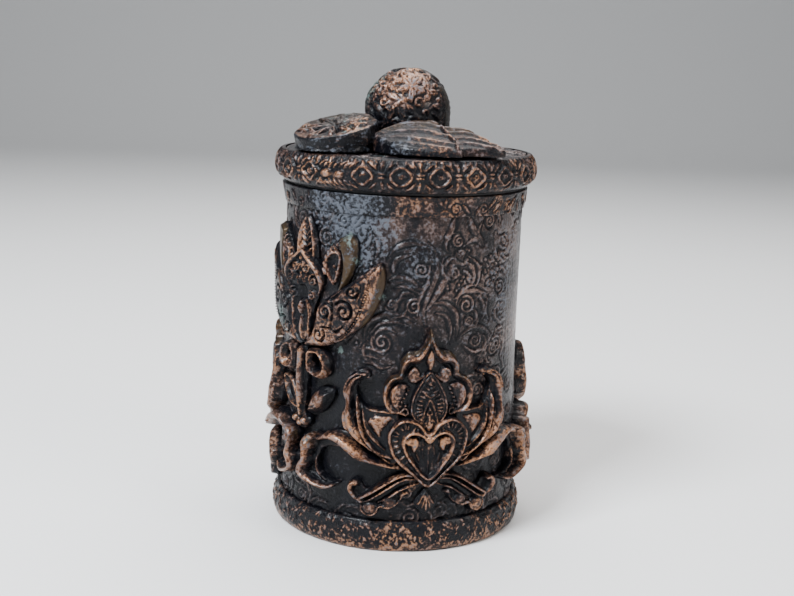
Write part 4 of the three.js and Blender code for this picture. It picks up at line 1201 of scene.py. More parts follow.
wall = {
    "stampHeight": 0.3, "stampDepth": 0.55, "unevenness": 0.2, "seam": 60, "overlap": 1, "fillPitch": 10.5,
    "upperSpacing": 0.4, "lowerSpacing": 0.5, "tuck": 0.35, "rubScale": 0.4, "crestRub": 0.7,
    # spirals: distance round, height, radius, first direction, hand
    "spirals": [
        (-6, 70, 3.7, 2.6, 1), (6, 94, 2.7, 0.5, -1), (-3.2, 82.5, 2.2, 3.5, 1), (4, 82, 2.7, 1.0, 1),
        (22, 82, 3.1, 2.0, -1), (23, 76.5, 1.8, 5.0, 1), (18, 103, 2.1, 1.5, 1), (17, 92.5, 2.3, 4.0, -1),
        (29, 63, 1.7, 0.0, 1), (30, 109, 2.3, 2.2, -1), (-20, 108.5, 2.5, 1.0, 1), (-21, 115, 2.6, 4.0, 1),
        (19, 99, 1.6, 3.0, 1), (26, 70, 2.5, 1.0, -1), (35, 66, 2.2, 2.0, 1),
    ],
    # long leaves: width, then points of distance round and height
    "leaves": [
        (1.7, [(-12, 70), (-11, 75.5), (-6, 79), (0, 79.5), (5, 77)]),
        (1.3, [(-10, 72.5), (-7, 76), (-2, 77), (3, 75.5)]),
        (1.2, [(-9, 70.5), (-7.5, 73.7), (-4, 74.7), (-1, 73)]),
        (1.1, [(-14, 67.3), (-9.5, 67.6), (-5, 66)]), (1.0, [(-14, 65), (-10, 65.2), (-6, 64.2)]),
        (1.0, [(-13, 63), (-9, 62.8), (-6, 62.2)]),
        (1.9, [(8, 76), (7, 81), (9, 87), (11, 93), (10.5, 99), (7.5, 103)]),
        (2.2, [(8, 81), (12, 87), (15, 92.5), (17, 97)]), (1.3, [(5, 79), (5.5, 84), (8, 90), (8.5, 95)]),
        (1.5, [(6, 88), (2, 91), (-2, 91.5), (-5, 90)]), (1.1, [(6, 86), (1, 88.5), (-3, 88)]),
        (1.6, [(3, 99), (-2, 97), (-3, 93.5), (0, 91.8)]),
        (1.6, [(8, 101), (3, 102.5), (-2, 101), (-5, 97.5)]),
        (1.7, [(9, 83), (14, 83), (18, 80), (19, 75), (18.5, 71)]),
        (1.4, [(11, 80), (15, 78.5), (16.5, 74), (16, 70)]),
        (1.5, [(17, 84), (21, 86.5), (26, 86.3), (31, 85)]),
        (1.1, [(18, 82), (19, 85.5), (22, 88), (26, 88.5)]),
        (1.5, [(25, 85.5), (28.5, 83), (29.5, 79), (28, 75.5)]), (1.3, [(31, 84), (30, 79.5), (32, 76)]),
        (2.1, [(13, 102), (15.5, 107), (16.5, 112)]),
        (2.3, [(21, 112), (23.5, 107), (26.5, 103.5), (28, 101)]),
        (1.3, [(27, 109), (25.5, 105.5), (28.5, 102)]), (1.7, [(21, 102), (24.5, 103.5), (27, 101)]),
        (1.4, [(20, 97), (24, 94), (24.5, 90), (22, 87.5)]),
        (1.2, [(22, 98), (26, 95), (26.5, 90), (24.5, 87)]),
        (1.3, [(13, 98), (12.5, 94.5), (15, 90)]), (1.6, [(20, 72), (25, 74.5), (30, 73.5), (34, 70)]),
        (1.3, [(21, 69), (26, 66), (31, 67)]), (1.4, [(-14, 99), (-11, 103), (-11, 107)]),
        (1.4, [(-9, 97), (-8, 101), (-10, 105)]), (1.3, [(-17, 106), (-14, 109), (-13, 113)]),
        (1.3, [(-26, 106), (-24, 110), (-25, 114)]),
    ],
    # bead clusters: distance round, height, reach, count
    "clusters": [(18, 92, 5.5, 26), (32, 93, 5, 24), (22, 97, 3.5, 10), (-12, 92, 4, 12)],
    # what the marks above fill, and the repeated ones leave free: both ways round, both heights
    "placed": [(-17, 36, 58, 200), (-33, -5, 12, 62)],
    # where the clay was left smooth: distance round, height, reach across, reach up
    "smooth": [(0, 108, 9, 5), (10, 109, 5, 4), (-19, 60, 9, 10), (53, 80, 16, 36), (33, 102, 3, 3)],
    # copper rubbed on whole areas, and the wide ones on the right side a painted reflection of the room in
    # copper: distance round, height, radius, strength
    "sheen": [
        (-4, 107, 7, .4), (10, 107, 7, .3), (33, 92, 9, .3), (47, 74, 16, .5), (46, 100, 15, .42),
        (56, 58, 16, .4), (18, 108, 7, .2), (18, 90, 10, .25), (38, 62, 8, .25), (8, 80, 8, .12),
        (-5, 72, 5, .12),
    ],
    # plain copper that rubbing left on the whole wall above and below a height, and how it changes
    "rubbedAbove": 0.2, "rubbedBelow": 0.02, "rubbedFrom": (48, 66),
}
wallPeriod = fullTurn * jar["wallRadius"]


def placedMarks(draw):
    marks = []
    for u, z, radius, turn, hand in wall["spirals"]:
        marks += scroll((u, z), radius, turn, hand, 0.9, leaves=2)
    for width, line in wall["leaves"]:
        marks.append((smoothLine(line), width * 1.15, (.35, .25)))
    for u, z, reach, count in wall["clusters"]:
        for _ in range(count):
            way, far = draw.uniform(0, fullTurn), reach * math.sqrt(draw.random())
            marks.append(bead(u, z, far, way, draw.uniform(0.9, 1.4)))
    return marks


def repeatedMarks(draw):
    # the rest of the wall repeats the stamp's scrolls and leaves
    marks = []
    pitch = wall["fillPitch"]
    columns, rows = int(wallPeriod // pitch), int(jar["jarTop"] // pitch) + 1
    for column in range(columns):
        for row in range(rows):
            u = -wallPeriod / 2 + (column + draw.uniform(.3, .7)) * wallPeriod / columns
            z = (row + draw.uniform(.25, .75) + (column % 2) * 0.5) * pitch - pitch / 2
            size, turn = draw.uniform(2.0, 3.3), draw.uniform(0, fullTurn)
            hand, beads = draw.choice((-1, 1)), draw.randrange(3)
            if any(left < u < right and low < z < high for left, right, low, high in wall["placed"]):
                continue
            marks += scroll((u, z), size, turn, hand, 1.0, leaves=3 + beads % 2)
            marks += [bead(u, z, 1.9 * size, turn + k * 1.1, 1.2) for k in range(beads * 2)]
    return marks


def stampWall(relief):
    draw = random.Random(5)
    marks = placedMarks(draw) + repeatedMarks(draw)
    stamp(relief, marks, wall["stampHeight"], wall["stampDepth"])
    for line, width, _ in marks:
        # a broad leaf has a midrib
        if width > 1.5:
            relief.groove(line, width * 0.25, 0.2, (.3, .2))


def smoothedShare(around, up, patches):
    share = np.zeros(len(around))
    for u, z, across, high in patches:
        share = np.maximum(share, 1 - ease(np.hypot((around - u) / across, (up - z) / high), 0.65, 1.15))
    return share


def sheenOn(around, up):
    sheen = np.zeros(len(around))
    for u, z, reach, strength in wall["sheen"]:
        sheen = np.maximum(sheen, strength * (1 - ease(np.hypot(around - u, up - z) / reach, 0.4, 1.2)))
    return sheen


def wallPart(name, low, high, spacing, tuckedSide, nodes):
    outer = [(float(wallRadiusAt(z)), z) for z in (low, high)]
    inner = [(jar["insideRadius"], z) for z in (high, low)]
    profile = fineProfile(outer + inner, [int((high - low) / spacing), 3, 1, 3])
    mesh = turnedMesh(profile, int(wallPeriod / spacing))
    points, radius, bearing = aroundJar(mesh)
    around, up = bearing * jar["wallRadius"], points[:, 2]
    relief = Relief(np.column_stack([around, up]), wallPeriod)
    stampWall(relief)
    streaks = 0.03 * np.sin(around * 3.1 + np.sin(up * 0.35) * 1.2)
    smooth = smoothedShare(around, up, wall["smooth"])
    lumps = waver(points, 26, 3) * wall["unevenness"] + waver(points, 6, 4) * 0.07
    raised = relief.height * (1 - smooth * 0.92) + smooth * streaks + lumps
    outside = radius > wallRadiusAt(up) - 0.2
    # the two parts of the wall pass under each other at their seam
    tucked = wall["tuck"] * np.clip((wall["seam"] - up) * tuckedSide, 0, 1)
    pushOut(mesh, points, bearing, np.where(outside, raised - tucked, 0))
    crest = crests(mesh, outwardOf(points), 14, wall["rubScale"], raised)
    plain = wall["rubbedBelow"] + (wall["rubbedAbove"] - wall["rubbedBelow"]) * ease(up, *wall["rubbedFrom"])
    # vertical streaks of copper in the painted reflection on the right side
    streaked = smooth * 0.08 * np.sin(around * 2.3 + np.sin(up * 0.2)) * ease(around, 36, 42)
    writeShares(mesh, "rub", crest * wall["crestRub"] + plain + sheenOn(around, up) + streaked)
    writePoints(mesh, points * mm)
    marksOn(mesh)
    return addPiece(name, mesh, "jar", stampedClay, nodes)


wallPart("wallUpper", wall["seam"] - wall["overlap"], jar["jarTop"], wall["upperSpacing"], 1, ["wall_clay"])
wallPart("wallLower", 0, wall["seam"] + wall["overlap"], wall["lowerSpacing"], -1, ["wall_clay"])
print("wall stamped")


# Bands round the jar

def rubAround(band, around):
    # copper that changes round the jar: what it starts from, then each change and where it comes about
    start, changes = band["rub"]
    return start + sum(change * ease(around, low, high) for change, low, high in changes)


def bandPart(name, body, band, carve, node, finish):
    # a turned band whose outer face is carved; carve(relief, around, up) gives the ground's change
    circle = fullTurn * band["radius"]
    mesh = turnedMesh(fineProfile(band["profile"], band["steps"]), int(circle / band["spacing"]))
    points, radius, bearing = aroundJar(mesh)
    around, up = bearing * band["radius"], points[:, 2]
    relief = Relief(np.column_stack([around, up]), circle)
    ground = carve(relief, around, up)
    heights = relief.height + ground
    innerRadius = min(r for r, _ in band["profile"])
    pushOut(mesh, points, bearing, heights * ease(radius - innerRadius, 0.1, 0.5))
    rub = crests(mesh, outwardOf(points), 12, band["rubScale"], heights) + rubAround(band, around)
    writeShares(mesh, "rub", rub)
    writePoints(mesh, points * mm)
    marksOn(mesh, 0 if body == "lid" else 1)
    return addPiece(name, mesh, body, finish, [node])


# a profile's points are radius and height, and its steps are the parts that each side is cut into
foot = {
    "radius": 44.3, "spacing": 0.4, "rubScale": 0.26, "copperFrom": 1.0, "copperTo": 4.2, "twists": 420,
    "profile": [
        (41.7, 0), (43.2, 0), (44.0, 0.9), (44.3, 2.2), (44.3, 5.2), (43.7, 8.6), (42.9, 10.2),
        (42.2, 10.4), (41.7, 10.4)],
    "steps": [2, 3, 4, 8, 9, 4, 2, 1, 3], "rub": (0.12, [(-0.14, 4, 26)]),
}


def carveFoot(relief, around, up):
    draw = random.Random(11)
    circle, twists = fullTurn * foot["radius"], foot["twists"]
    for k in range(twists):
        u = -circle / 2 + (k + draw.random()) * circle / twists
        z, lean, length = draw.uniform(3.2, 9.6), draw.uniform(-1.4, 1.4), draw.uniform(0.8, 2.0)
        middle = (u + draw.uniform(-0.7, 0.7), z)
        line = [(u - lean * length * .6, z - length * .6), middle, (u + lean * length * .4, z + length * .6)]
        relief.ridge(smoothLine(line, perSpan=3), draw.uniform(0.6, 1.0), 0.5, (.5, .4))
    flat = np.column_stack([around, up])
    return waver(np.column_stack([around, up * 1.6]), 5, 8) * 0.16 + waver(flat, 17, 9) * 0.18 - 0.35


def rubFootEdge(piece):
    # the low edge is rubbed through to copper in patches, and gilded in some of them
    mesh = piece.data
    points = readPoints(mesh) / mm
    rubbed = np.zeros(len(points), np.float32)
    mesh.attributes["rub"].data.foreach_get("value", rubbed)
    around = np.arctan2(points[:, 0], -points[:, 1]) * foot["radius"]
    lowEdge = 1 - ease(points[:, 2], foot["copperFrom"], foot["copperTo"])
    patches = 0.5 + 0.5 * waver(np.column_stack([around, points[:, 2]]), 13, 21)
    writeShares(mesh, "rub", rubbed + lowEdge * (0.25 + 0.55 * patches))
    writeShares(mesh, "gilt", lowEdge * ease(patches, 0.45, 0.8) * 0.5)


rubFootEdge(bandPart("footBand", "jar", foot, carveFoot, "foot_band", bandClay))

collar = {
    "radius": 42.0, "spacing": 0.4, "rubScale": 0.5, "marks": 70, "bare": (-18, 4),
    "profile": [(40.5, 110.8), (41.2, 110.8), (41.5, 112.5), (41.7, 115), (42.0, 117.2), (40.5, 117.2)],
    "steps": [2, 5, 7, 6, 3, 3], "rub": (0.05, [(0.3, -9, 0), (-0.15, 22, 34)]),
}


def carveCollar(relief, around, up):
    draw = random.Random(17)
    circle, count = fullTurn * collar["radius"], collar["marks"]
    marks = []
    for k in range(count):
        u = -circle / 2 + (k + draw.random()) * circle / count
        if collar["bare"][0] < u < collar["bare"][1]:
            continue
        z, size = draw.uniform(112.2, 115.8), draw.uniform(1.4, 2.4)
        if k % 3:
            lean = draw.uniform(-1.5, 1.5)
            line = [(u - size * lean, z - size), (u, z + .3), (u + size * lean * .6, z + size)]
            marks.append((smoothLine(line, perSpan=4), 1.5, (.5, .4)))
        else:
            line = spiralLine((u, z), size, 1.4, draw.uniform(0, 6), draw.choice((-1, 1)))
            marks.append((line, 0.9, (1, 1)))
    stamp(relief, marks, 0.25, 0.45, 1.0)
    return waver(np.column_stack([around, up]), 9, 13) * 0.2 - 0.15


bandPart("collarBand", "jar", collar, carveCollar, "collar_band", carvedClay)

rim = {
    "radius": 44.2, "spacing": 0.33, "rubScale": 0.7, "middle": 123.5, "ground": -0.5,
    "rings": 22, "firstRing": -13.9, "jointWidth": 20.0, "ringAcross": 3.3, "ringUp": 2.9, "ringWidth": 1.15,
    "ringHeight": 1.2, "arcAcross": 5.0, "arcUp": 4.4, "arcWays": (0.85, 2.3, 3.98, 5.43), "fringe": 118,
    # the two beads at the joint of the strip: distance round and half width
    "jointBeads": [(-21.9, 1.3), (-27.3, 1.5)], "jointLeaves": 7, "jointPitch": 1.9,
    "profile": [
        (41.3, 118.4), (42.4, 118.3), (43.1, 119.3), (43.8, 120.9), (44.15, 122.4), (44.2, 124.2),
        (43.9, 126.2), (43.4, 127.7), (42.9, 128.6), (41.3, 128.7)],
    "steps": [3, 3, 5, 5, 5, 6, 5, 3, 4, 8], "rub": (0.24, []),
}


def rimRing(relief, u, draw):
    # a ring with its bead, and the arcs at its four corners
    middle = rim["middle"]
    ring = ringLine((u, middle), rim["ringAcross"], rim["ringUp"], corners=draw.uniform(0.05, 0.25))
    pad(relief, ring[:-1], 0.45, 0.8)
    relief.ridge(ring, rim["ringWidth"], rim["ringHeight"], power=domes["blunt"])
    relief.ridge(np.array([(u - 0.2, middle), (u + 0.2, middle + 0.1)]), 2.4, 1.1)
    relief.groove(np.array([(u, middle), (u + 0.1, middle)]), 0.9, 0.5)
    for way in rim["arcWays"]:
        reach = draw.uniform(0.28, 0.42)
        angle = np.linspace(way - reach, way + reach, 7)
        arc = np.column_stack([u + rim["arcAcross"] * np.cos(angle), middle + rim["arcUp"] * np.sin(angle)])
        relief.ridge(arc, 1.1, 0.95, (.5, .7))


def rimLink(relief, u, draw):
    # between two rings: two short bars, and a small leaf above and below them
    middle = rim["middle"]
    for up in (-0.5, 0.7):
        bar = np.array([(u - 1.0, middle + up), (u + 1.0, middle + up + 0.1)])
        relief.ridge(bar, 1.0, 0.85, (.6, .9))
    for side in (-1, 1):
        leaf = np.array([(u, middle + side * 2.0), (u + draw.uniform(-0.5, 0.5), middle + side * 4.0)])
        relief.ridge(leaf, 1.2, 0.9, (.8, .8))


def rimFringe(relief, draw):
    # slanting nicks along the top of the rim
    circle, count = fullTurn * rim["radius"], rim["fringe"]
    for k in range(count):
        u = circle * (k + draw.uniform(-.2, .2)) / count - circle / 2
        lean = draw.uniform(0.2, 0.9) * (1 if k % 2 else -1)
        relief.ridge(smoothLine([(u - lean, 126.0), (u, 127.2), (u + lean * .4, 128.2)]), 1.1, 0.7, (.4, .8))


def rimJoint(relief):
    # the joint of the strip: two beads among leaves
    middle = rim["middle"]
    for u, size in rim["jointBeads"]:
        line = np.array([(u - 0.5, middle - 0.3), (u + 0.5, middle - 0.2)])
        relief.ridge(line, 2 * size, 1.2, power=domes["blunt"])
    for k in range(rim["jointLeaves"]):
        u = rim["firstRing"] - 5.0 - rim["jointPitch"] * k
        for side in (-1, 1):
            leaf = [(u - 1.6, middle + side * 1.6), (u - .6, middle + side * 2.9),
                    (u + 1.0, middle + side * (3.6 + .3 * (k % 2)))]
            relief.ridge(smoothLine(leaf), 1.1, 0.9, (.4, .7))


def carveRim(relief, around, up):
    pitch = (fullTurn * rim["radius"] - rim["jointWidth"]) / (rim["rings"] - 1)
    draw = random.Random(19)
    for k in range(rim["rings"]):
        u = rim["firstRing"] + pitch * k
        rimRing(relief, u, draw)
        if k < rim["rings"] - 1:
            rimLink(relief, u + pitch / 2, draw)
    rimFringe(relief, draw)
    rimJoint(relief)
    flat = np.column_stack([around, up])
    return waver(flat, 14, 23) * 0.1 + waver(flat, 2.4, 24) * 0.06 + rim["ground"]


bandPart("rimBand", "lid", rim, carveRim, "rim_band", carvedClay)
print("bands carved")


# Lid sheet

sheet = {"low": 126.3, "top": 129.3, "radius": 41.0, "pitch": 9.5, "reach": 4, "roundedFrom": 38.5}


def stampSheet(relief):
    draw = random.Random(31)
    marks = []
    for row in range(-sheet["reach"], sheet["reach"] + 1):
        for column in range(-sheet["reach"], sheet["reach"] + 1):
            centre = ((column + draw.uniform(.25, .75)) * sheet["pitch"],
                      (row + draw.uniform(.25, .75)) * sheet["pitch"])
            marks += scroll(centre, draw.uniform(1.9, 2.9), draw.uniform(0, 6), draw.choice((-1, 1)))
    stamp(relief, marks, 0.3, 0.4)


def lidSheet():
    mesh = slab(ringLine((0, 0), sheet["radius"], count=120)[:-1], 0.45)
    points = readPoints(mesh)
    flat = points[:, :2]
    relief = Relief(flat)
    stampSheet(relief)
    far = np.hypot(points[:, 0], points[:, 1])
    ground = waver(flat, 18, 33) * 0.25 - 0.45 - 0.4 * ease(far, sheet["roundedFrom"], sheet["radius"])
    points[:, 2] = sheet["low"] + points[:, 2] * (sheet["top"] - sheet["low"] + ground + relief.height)
    writePoints(mesh, points)
    writeShares(mesh, "rub", crests(mesh, [0, 0, 1], 10, 0.3))
    writeShares(mesh, "patina", 0.5 * ease(waver(flat, 11, 35), 0.1, 0.6))
    writePoints(mesh, points * mm)
    return addPiece("lidSheet", mesh, "lid", stampedClay, ["lid_sheet"])


lidSheet()


# Knob

knob = {
    "ground": 14.3, "inside": 12.7, "centre": 141.7, "seat": 129.6, "top": 156.1, "sunk": -0.4,
    "sides": 260, "outerSteps": 104, "innerSteps": 20,
    "flowers": 9, "lowest": -0.45, "flowerTurn": 137.5, "petals": 5, "petalStart": 0.6, "petalLength": 5.6,
    "petalWidth": 3.4, "leafHeight": 0.95, "fillers": 170,
    # the strip over the ball's seam: where it stands, half its width, its distance from the ball's middle
    "seamBearing": 1.22, "seamHalfWidth": 2.4, "seamRadius": 14.6,
    # the way that the painted highlight of copper faces, between the camera and the key lamp
    "paintedHighlightWay": (-0.08, -0.84, 0.54),
}


def knobShell():
    # the skin is two turned shells that meet at the foot, joined there by one ring of faces
    arcs = []
    for radius, steps in ((knob["inside"], knob["innerSteps"]), (knob["ground"], knob["outerSteps"])):
        lowest = math.asin((knob["seat"] - knob["centre"]) / radius)
        arc = [(radius * math.cos(a), knob["centre"] + radius * math.sin(a))
               for a in np.linspace(lowest, math.pi / 2, steps)]
        arc[-1] = (0, knob["centre"] + radius)
        arcs.append(arc)
    inner, outer = arcs
    return turnedMesh(inner[::-1] + outer, knob["sides"], closed=False)


def onKnob(high, way):
    # a place on the ball, as a direction from its middle, and the two directions across it there
    flat = math.sqrt(1 - high * high)
    middle = np.array([flat * math.cos(way), flat * math.sin(way), high])
    side = np.cross([0, 1, 0], middle)
    side /= np.linalg.norm(side)
    return middle, side, np.cross(middle, side)


def knobLeaf(relief, middle, ray, start, length, width, height):
    # a leaf that lies over the others on the ball and points away from a middle, with its midrib
    reach = np.linspace(start, start + length, 7)[:, None] / knob["ground"]
    line = (middle * np.cos(reach) + ray * np.sin(reach)) * knob["ground"]
    relief.overlay(line, width, height * 0.35, height, (.5, .3))
    relief.groove(line, width * 0.2, height * 0.5, (.6, .3))


def knobCurl(relief, middle, side, up, spin, hand, reach):
    turns = spin + hand * np.linspace(0, 4.2, 12)[:, None]
    far = np.linspace(0.4, reach, 12)[:, None]
    line = middle * knob["ground"] + (side * np.cos(turns) + up * np.sin(turns)) * far
    line = line / np.linalg.norm(line, axis=1)[:, None] * knob["ground"]
    relief.ridge(line, 0.95, knob["leafHeight"], (.9, .4))


def carveKnob(relief):
    draw = random.Random(41)
    golden = math.pi * (3 - math.sqrt(5))
    for k in range(knob["fillers"]):
        middle, side, up = onKnob(1 - 1.7 * (k + 0.5) / knob["fillers"], golden * k)
        spin, hand = draw.uniform(0, fullTurn), draw.choice((-1, 1))
        if k % 3:
            ray = side * math.cos(spin) + up * math.sin(spin)
            knobLeaf(relief, middle, ray, -1.8, draw.uniform(3.0, 5.2), draw.uniform(1.5, 2.8),
                     knob["leafHeight"] * draw.uniform(0.5, 1))
        else:
            knobCurl(relief, middle, side, up, spin, hand, draw.uniform(1.4, 2.4))
    for k in range(knob["flowers"]):
        way = math.radians(knob["flowerTurn"]) * k
        middle, side, up = onKnob(1 - (1 - knob["lowest"]) * (k + 0.5) / knob["flowers"], way)
        for petal in range(knob["petals"]):
            lean = way + petal * fullTurn / knob["petals"]
            knobLeaf(relief, middle, side * math.cos(lean) + up * math.sin(lean), knob["petalStart"],
                     knob["petalLength"] * draw.uniform(0.7, 1), knob["petalWidth"] * draw.uniform(0.6, 1),
                     knob["leafHeight"])
        relief.boss(middle * knob["ground"], 0.8, knob["leafHeight"])


def knobStrip(out):
    # the share of the smooth strip over the seam, and how far it stands out of the ball
    seam = np.array([math.cos(knob["seamBearing"]), math.sin(knob["seamBearing"]), 0])
    offSeam = np.abs(out @ seam) * knob["ground"]
    onRight = (out @ np.array([seam[1], -seam[0], 0])) > 0
    smooth = (1 - ease(offSeam, knob["seamHalfWidth"], knob["seamHalfWidth"] + 0.5)) * onRight
    smooth *= 1 - ease(out[:, 2], 0.58, 0.66)
    # below the ball's middle it goes straight down
    level = np.sqrt(np.maximum(1 - out[:, 2]**2, 1e-6))
    reach = np.where(out[:, 2] < 0, knob["seamRadius"] / np.maximum(level, 0.9), knob["seamRadius"])
    return smooth, reach - knob["ground"]


def knobSkin():
    mesh = knobShell()
    points = readPoints(mesh)
    centre = np.array([0, 0, knob["centre"]])
    out = points - centre
    reach = np.linalg.norm(out, axis=1)
    out /= reach[:, None]
    relief = Relief(out * knob["ground"])
    carveKnob(relief)
    smooth, strip = knobStrip(out)
    push = (relief.height + knob["sunk"] + waver(points, 9, 43) * 0.12) * (1 - smooth) + strip * smooth
    crest = crests(mesh, out, 10, 0.3, push)
    outside = reach > (knob["ground"] + knob["inside"]) / 2
    points = centre + out * (reach + np.where(outside, push, 0))[:, None]
    points[:, 2] = np.minimum(points[:, 2], knob["top"])
    writePoints(mesh, points)
    # painted highlight: copper covers the side of the ball that faces the camera and the key lamp, valleys
    # too, and painted shade leaves less of it on the underside
    front = ease(out @ np.array(knob["paintedHighlightWay"]), 0.5, 0.97) * ease(out[:, 2], -0.02, 0.3)
    low = ease(out[:, 2], -0.15, 0.25)
    edge = np.maximum(0.85 * -out[:, 0] + 0.55 * out[:, 2], 0.95 * out[:, 2])
    writeShares(mesh, "rub", crest * (0.22 + 0.15 * low + 0.2 * front) + 0.85 * front + 0.12 * low)
    writeShares(mesh, "patina", 0.6 * ease(edge, 0.7, 1.0) * (1 - front))
    writeShares(mesh, "gilt", smooth * 0.36 + 0.3 * ease(0.5 * out[:, 0] + 0.8 * out[:, 2], 0.75, 1.0))
    writePoints(mesh, points * mm)
    return addPiece("knobSkin", mesh, "lid", carvedClay, ["knob_skin"])


knobSkin()


# Rosette

rosette = {
    "radius": 13.9, "thickness": 4.3, "baseRadius": 13.4, "baseThickness": 4.6, "middle": (-23.0, -17.8),
    "tilt": 14, "riseBearing": 48, "seat": 129.4, "gap": 0.05, "petals": 10, "twigs": 16, "shoulder": 1.5,
    "scallop": 0.35, "sunk": 1.4, "edge": 2.1, "skirt": 3.0, "backRise": 1.0,
}


def rosettePlace():
    # the way the tilted rosette faces, and the middle of the bed that it lies on
    tilt, bearing = math.radians(rosette["tilt"]), math.radians(rosette["riseBearing"])
    level = math.sin(tilt)
    normal = np.array([-math.sin(bearing) * level, -math.cos(bearing) * level, math.cos(tilt)])
    return normal, np.array([*rosette["middle"], rosette["seat"] + rosette["baseThickness"]])


def rosetteBase():
    # the wedge of clay under the rosette
    normal, bed = rosettePlace()
    radius = rosette["baseRadius"] - 0.4
    mesh = slab(ringLine((0, 0), radius, count=80)[:-1], 0.35)
    points = readPoints(mesh)
    waves = waver(points * [1, 1, 3], 6, 51)
    share = points[:, 2]
    far = np.hypot(points[:, 0], points[:, 1])
    out = points[:, :2] / np.maximum(far, 1e-6)[:, None]
    edge = ease(far, rosette["baseRadius"] - 2, radius)
    points[:, :2] += out * (edge * (waves * 0.4 + 0.7 * (1 - share)))[:, None]
    slope = bed[2] - (points[:, 0] * normal[0] + points[:, 1] * normal[1]) / normal[2]
    points[:, 2] = rosette["seat"] + share * (slope - rosette["seat"])
    points[:, :2] += bed[:2]
    writePoints(mesh, points)
    side = edge * ease(share, 0.05, 0.3)
    writeShares(mesh, "rub", 0.3 * side * ease(waver(points, 3, 53), 0.1, 0.5))
    # dust with a painted reflection of the sky on the sides
    writeShares(mesh, "dust", 0.6 * side * ease(waver(points * [1, 1, 4], 5, 52), -0.1, 0.5))
    writePoints(mesh, points * mm)
    return addPiece("rosetteBase", mesh, "lid", stampedClay, ["rosette_base"])


def carveRosette(relief):
    draw = random.Random(47)
    for k in range(rosette["petals"]):
        way = fullTurn * (k + draw.uniform(-.2, .2)) / rosette["petals"]
        out, side = np.array([math.cos(way), math.sin(way)]), np.array([-math.sin(way), math.cos(way)])
        bend, far = draw.uniform(0.8, 2.8), draw.uniform(9.6, 11.4)
        petal = [out * 2.2, out * 6.0 + side * bend * .5, out * far + side * bend]
        relief.ridge(smoothLine(petal), draw.uniform(2.4, 3.6), draw.uniform(0.8, 1.3), (.5, .9),
                     power=domes["flat"])
        vein = [out * 4.4, out * 7.0 + side * bend * .5, out * 9.4 + side * bend]
        relief.groove(smoothLine(vein), 1.0, 1.0, (.5, .6))
        between = [out * 4.2 + side * 1.9, out * 7.6 + side * (2.3 + bend * .3), out * 10.0 + side * 2.8]
        relief.groove(smoothLine(between), draw.uniform(1.2, 2.0), 1.4, (.6, .8))
    for _ in range(rosette["twigs"]):
        way, far = draw.uniform(0, fullTurn), draw.uniform(2.5, 11.5)
        place, lean = far * np.array([math.cos(way), math.sin(way)]), draw.uniform(0, fullTurn)
        ahead = np.array([math.cos(lean), math.sin(lean)])
        twig = [place - ahead * 1.6, place + [ahead[1] * .6, -ahead[0] * .6], place + ahead * 1.6]
        relief.ridge(smoothLine(twig), draw.uniform(1.2, 2.0), draw.uniform(0.7, 1.1), (.5, .7))


def rosetteTop():
    normal, bed = rosettePlace()
    angles = np.linspace(0, fullTurn, 150, endpoint=False)
    wavy = rosette["radius"] - rosette["scallop"] * np.abs(np.sin(angles * rosette["petals"] / 2)) ** 3
    outline = np.column_stack([wavy * np.cos(angles), wavy * np.sin(angles)])
    mesh = slab(outline, 0.3)
    points = readPoints(mesh)
    flat, share = points[:, :2].copy(), points[:, 2].copy()
    depth = np.maximum(depthInside(flat, outline), 0)
    relief = Relief(flat)
    carveRosette(relief)
    rounded = roundedEdge(depth, rosette["shoulder"])
    # the carving is lower towards the back, where the crown itself rises
    crown = rosette["thickness"] - rosette["sunk"]
    crown = crown + relief.height * rounded * (1 - 0.65 * ease(flat[:, 1], 1, 9))
    crown += waver(flat, 8, 55) * 0.25 + rosette["backRise"] * ease(flat[:, 1], 1, 10)
    # its edge hangs over the disc that it lies on, down to the lid at the lowest
    turn = np.array(Vector((0, 0, 1)).rotation_difference(Vector(normal)).to_matrix())
    gap = rosette["gap"]
    overLid = (rosette["seat"] + gap - bed[2] - flat @ turn[2, :2]) / turn[2, 2] - gap
    low = np.maximum(-rosette["skirt"] * (1 - ease(depth, 0.7, 0.9)), np.minimum(overLid, 0))
    high = rosette["edge"] + (crown - rosette["edge"]) * (0.35 + 0.65 * rounded)
    points[:, 2] = low + share * (high - low)
    writePoints(mesh, points)
    rub = crests(mesh, [0, 0, 1], 12, 0.35)
    raised = ease(share, 0.5, 1.0) * ease(depth, 0.1, 0.9)
    warm = ease(-flat[:, 0] - 0.2 * flat[:, 1], 3, 12)
    lip = ease(-flat[:, 1] + 0.35 * flat[:, 0], 9, 12)
    points = points @ turn.T + bed + normal * gap
    writePoints(mesh, points)
    writeShares(mesh, "rub", (rub * 0.5 + 0.16 + 0.4 * warm + 0.35 * lip) * raised)
    writeShares(mesh, "patina", 0.6 * ease(waver(flat, 4, 57), 0.15, 0.5) * raised * (1 - warm))
    writeShares(mesh, "gilt", 0.35 * raised * ease(flat[:, 1], -6, 4))
    # dust with a painted reflection of the sky on the low edge of the rosette
    writeShares(mesh, "dust", 0.7 * (1 - raised) * ease(waver(points * [1, 1, 4], 5, 58), -0.2, 0.5))
    writePoints(mesh, points * mm)
    return addPiece("rosetteTop", mesh, "lid", carvedClay, ["rosette_top"])


rosetteBase()
rosetteTop()


# Wing. Outlines and gaps are in shares of its length and depth

